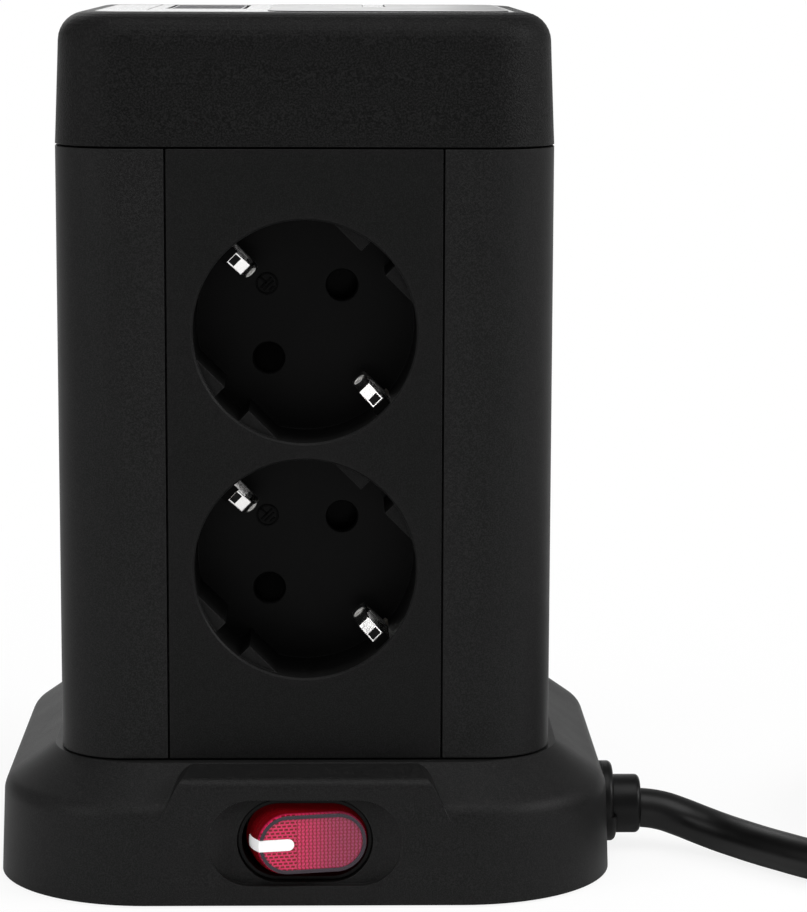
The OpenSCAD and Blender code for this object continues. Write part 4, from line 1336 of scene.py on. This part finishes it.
@dataclass
class ClipTrim:
    """What finishes a side's four earth clips: sheared edges, dark patches of painted shade, wall
    lips.

    Points of a clip are shares of the well's radius and depth. A shade patch's points are a
    share of the ramp's length and a height above its face. A lip's points are a distance
    out from the well's wall and a depth.
    """

    side: Side
    turns: Pair = (math.radians(-45), math.radians(135))
    ramp: tuple[Pair, Pair] = ((0.985, 0.183), (0.764, 0.309))
    hook: tuple[Pair, ...] = (
        (0.705, 0.560), (0.694, 0.640), (0.688, 0.710), (0.689, 0.745), (0.694, 0.775),
        (0.710, 0.799), (0.730, 0.815), (0.785, 0.832), (0.880, 0.837), (0.960, 0.839),
    )
    half_width: float = 1.2 * MM
    half_thickness: float = 0.3 * MM
    bead_radius: float = 0.26 * MM
    bead_smooth: float = math.radians(60)
    bend_reach: float = 0.5 * MM
    bend_angles: tuple[float, ...] = (-60, -30, 0, 30, 60)
    shade_patch: tuple[Pair, ...] = (
        (0.26, -0.05 * MM), (0.58, -0.05 * MM), (0.56, 0.04 * MM), (0.28, 0.04 * MM)
    )
    shade_patch_half: float = 0.95 * MM
    lip: tuple[Pair, ...] = (
        (-1.5 * MM, 2.5 * MM), (-1.3 * MM, 2.3 * MM), (0.1 * MM, 2.1 * MM),
        (0.1 * MM, 2.7 * MM), (-0.3 * MM, 2.8 * MM), (-1.5 * MM, 3.2 * MM),
    )
    lip_half: float = 1.6 * MM

    def frames(self) -> list[Matrix]:
        """Places the side's clips.

        Returns:
            One frame per clip, with x along the radius, y into the well and z across.
        """
        flat = Matrix.Rotation(math.radians(-90), 4, "X")
        across = Matrix(((0, 0, 1, 0), (1, 0, 0, 0), (0, 1, 0, 0), (0, 0, 0, 1)))
        frames = []
        for centre in WELLS.centres:
            place = Matrix.Translation((0.0, -WELLS.face, centre))
            for turn in self.turns:
                tilt = Matrix.Rotation(turn, 4, "Z")
                frames.append(self.side.turn @ place @ flat @ tilt @ across)
        return frames

    def bead_path(self) -> list[Vector]:
        """Follows a clip's sheared edge: up one side, round the bend, down the other.

        Returns:
            The points of the edge.
        """
        half = self.half_width
        sides = [[Vector((r * WELLS.radius, d * WELLS.depth, edge)) for r, d in self.hook]
                 for edge in (-half, half)]
        start = sides[0][0]
        bend = [
            Vector((start.x - self.bend_reach * math.cos(angle), start.y, half * math.sin(angle)))
            for angle in map(math.radians, self.bend_angles)
        ]
        return sides[0][::-1] + bend + sides[1]

    def shade_patch_outline(self) -> list[Pair]:
        """Lays the shade patch on the clip's ramp.

        Returns:
            Its outline as (radius, depth).
        """
        outer, inner = (Vector((r * WELLS.radius, d * WELLS.depth)) for r, d in self.ramp)
        way = (inner - outer).normalized()
        out = Vector((-way.y, way.x))
        return [tuple(outer + (inner - outer) * along + out * (self.half_thickness + lift))
                for along, lift in self.shade_patch]

    def build(self) -> None:
        """Adds the edges, the patches of painted shade and the lips."""
        shade_patches, lips, beads = Shape(), Shape(), Shape()
        shade_patch, path = self.shade_patch_outline(), self.bead_path()
        lip = [(WELLS.radius + out, depth) for out, depth in self.lip]
        for turn in self.frames():
            shade_patches.prism(shade_patch, -self.shade_patch_half, self.shade_patch_half, turn)
            lips.prism(lip, -self.lip_half, self.lip_half, turn)
            beads.tube([turn @ point for point in path], self.bead_radius)
        label = self.side.label
        fit_piece(beads.piece(f"clip_edges_{label}", self.bead_smooth), EDGE_STEEL)
        # dark steel patches on the ramps stand in for the shade of a pressed dimple
        fit_piece(shade_patches.piece(f"clip_shade_patches_{label}"), CLIP_SHADE_STEEL)
        fit_piece(lips.piece(f"clip_lips_{label}"), SHADE_BLACK)


@dataclass
class SocketSide:
    """One side of the column: panel, wells, shutters and contacts."""

    side: Side

    def build(self) -> None:
        """Dresses the side and adds its signs and its clips' trim."""
        label = self.side.label
        paint(PANEL, f"side_panel_{label}")
        paint(SHADE_BLACK, f"shutter_{label}_lower", f"shutter_{label}_upper")
        paint(IVORY, f"contact_carrier_{label}")
        paint(BRASS, f"live_rail_{label}", f"neutral_rail_{label}")
        paint(CLIP_STEEL, f"earth_strip_{label}")
        EarthSigns(self.side).build()
        ClipTrim(self.side).build()


@dataclass
class Column:
    """Four corner posts and four socket sides."""

    corners: tuple[str, ...] = ("front_right", "back_right", "back_left", "front_left")

    def build(self) -> None:
        """Dresses the posts, the screws, the wires and each side."""
        paint(SHELL, *(f"corner_post_{corner}" for corner in self.corners))
        paint(SCREW_STEEL, "post_screws")
        paint(WIRE_SKIN, "inner_wires")
        for side in Side:
            SocketSide(side).build()


@dataclass
class Cap:
    """The cap with its lid, charging ports and soft pad."""

    port_x: float = -18.5 * MM
    first_port_y: float = -4.7 * MM
    port_pitch: float = 9.6 * MM
    port_count: int = 4
    opening_half: Pair = (6.78 * MM, 3.03 * MM)
    collar_wall: float = 0.38 * MM
    collar_sink: float = 0.05 * MM

    def add_port_collars(self) -> None:
        """Steel collars that line the lid's openings down to the ports' shells."""
        low = top_of("usb_ports") - self.collar_sink
        high = top_of("top_panel") - self.collar_sink
        half_x, half_y = self.opening_half
        wall = self.collar_wall / 2
        collars = Shape()
        for i in range(self.port_count):
            y = self.first_port_y + i * self.port_pitch
            for sign in (-1, 1):
                long_at = (self.port_x, y + sign * (half_y - wall))
                short_at = (self.port_x + sign * (half_x - wall), y)
                collars.prism(box_outline(half_x, wall, long_at), low, high, Matrix())
                collars.prism(box_outline(wall, half_y - 2 * wall, short_at), low, high, Matrix())
        fit_piece(collars.piece("port_collars"), COLLAR_STEEL)

    def build(self) -> None:
        """Dresses the cap and lines the ports' openings."""
        self.add_port_collars()
        paint(CAP, "top_cap")
        paint(LID, "top_panel")
        paint(PAD_RUBBER, "grip_pad")
        paint(PORT_STEEL, "usb_ports")
        paint(BOARD, "usb_board")


def main() -> None:
    """Builds the studio, the lead and each sub-assembly in order."""
    logging.basicConfig(level=logging.INFO, format="%(name)s: %(message)s")
    Studio().build()
    lead = MainsLead()
    tie = CoilTie(metres((*lead.coil_centre, 0.0)))
    for part in (lead, tie, MainsPlug(lead.end), Foot(), Switch(), Column(), Cap()):
        part.build()
        LOG.info("built %s", type(part).__name__)


if __name__ == "__main__":
    main()
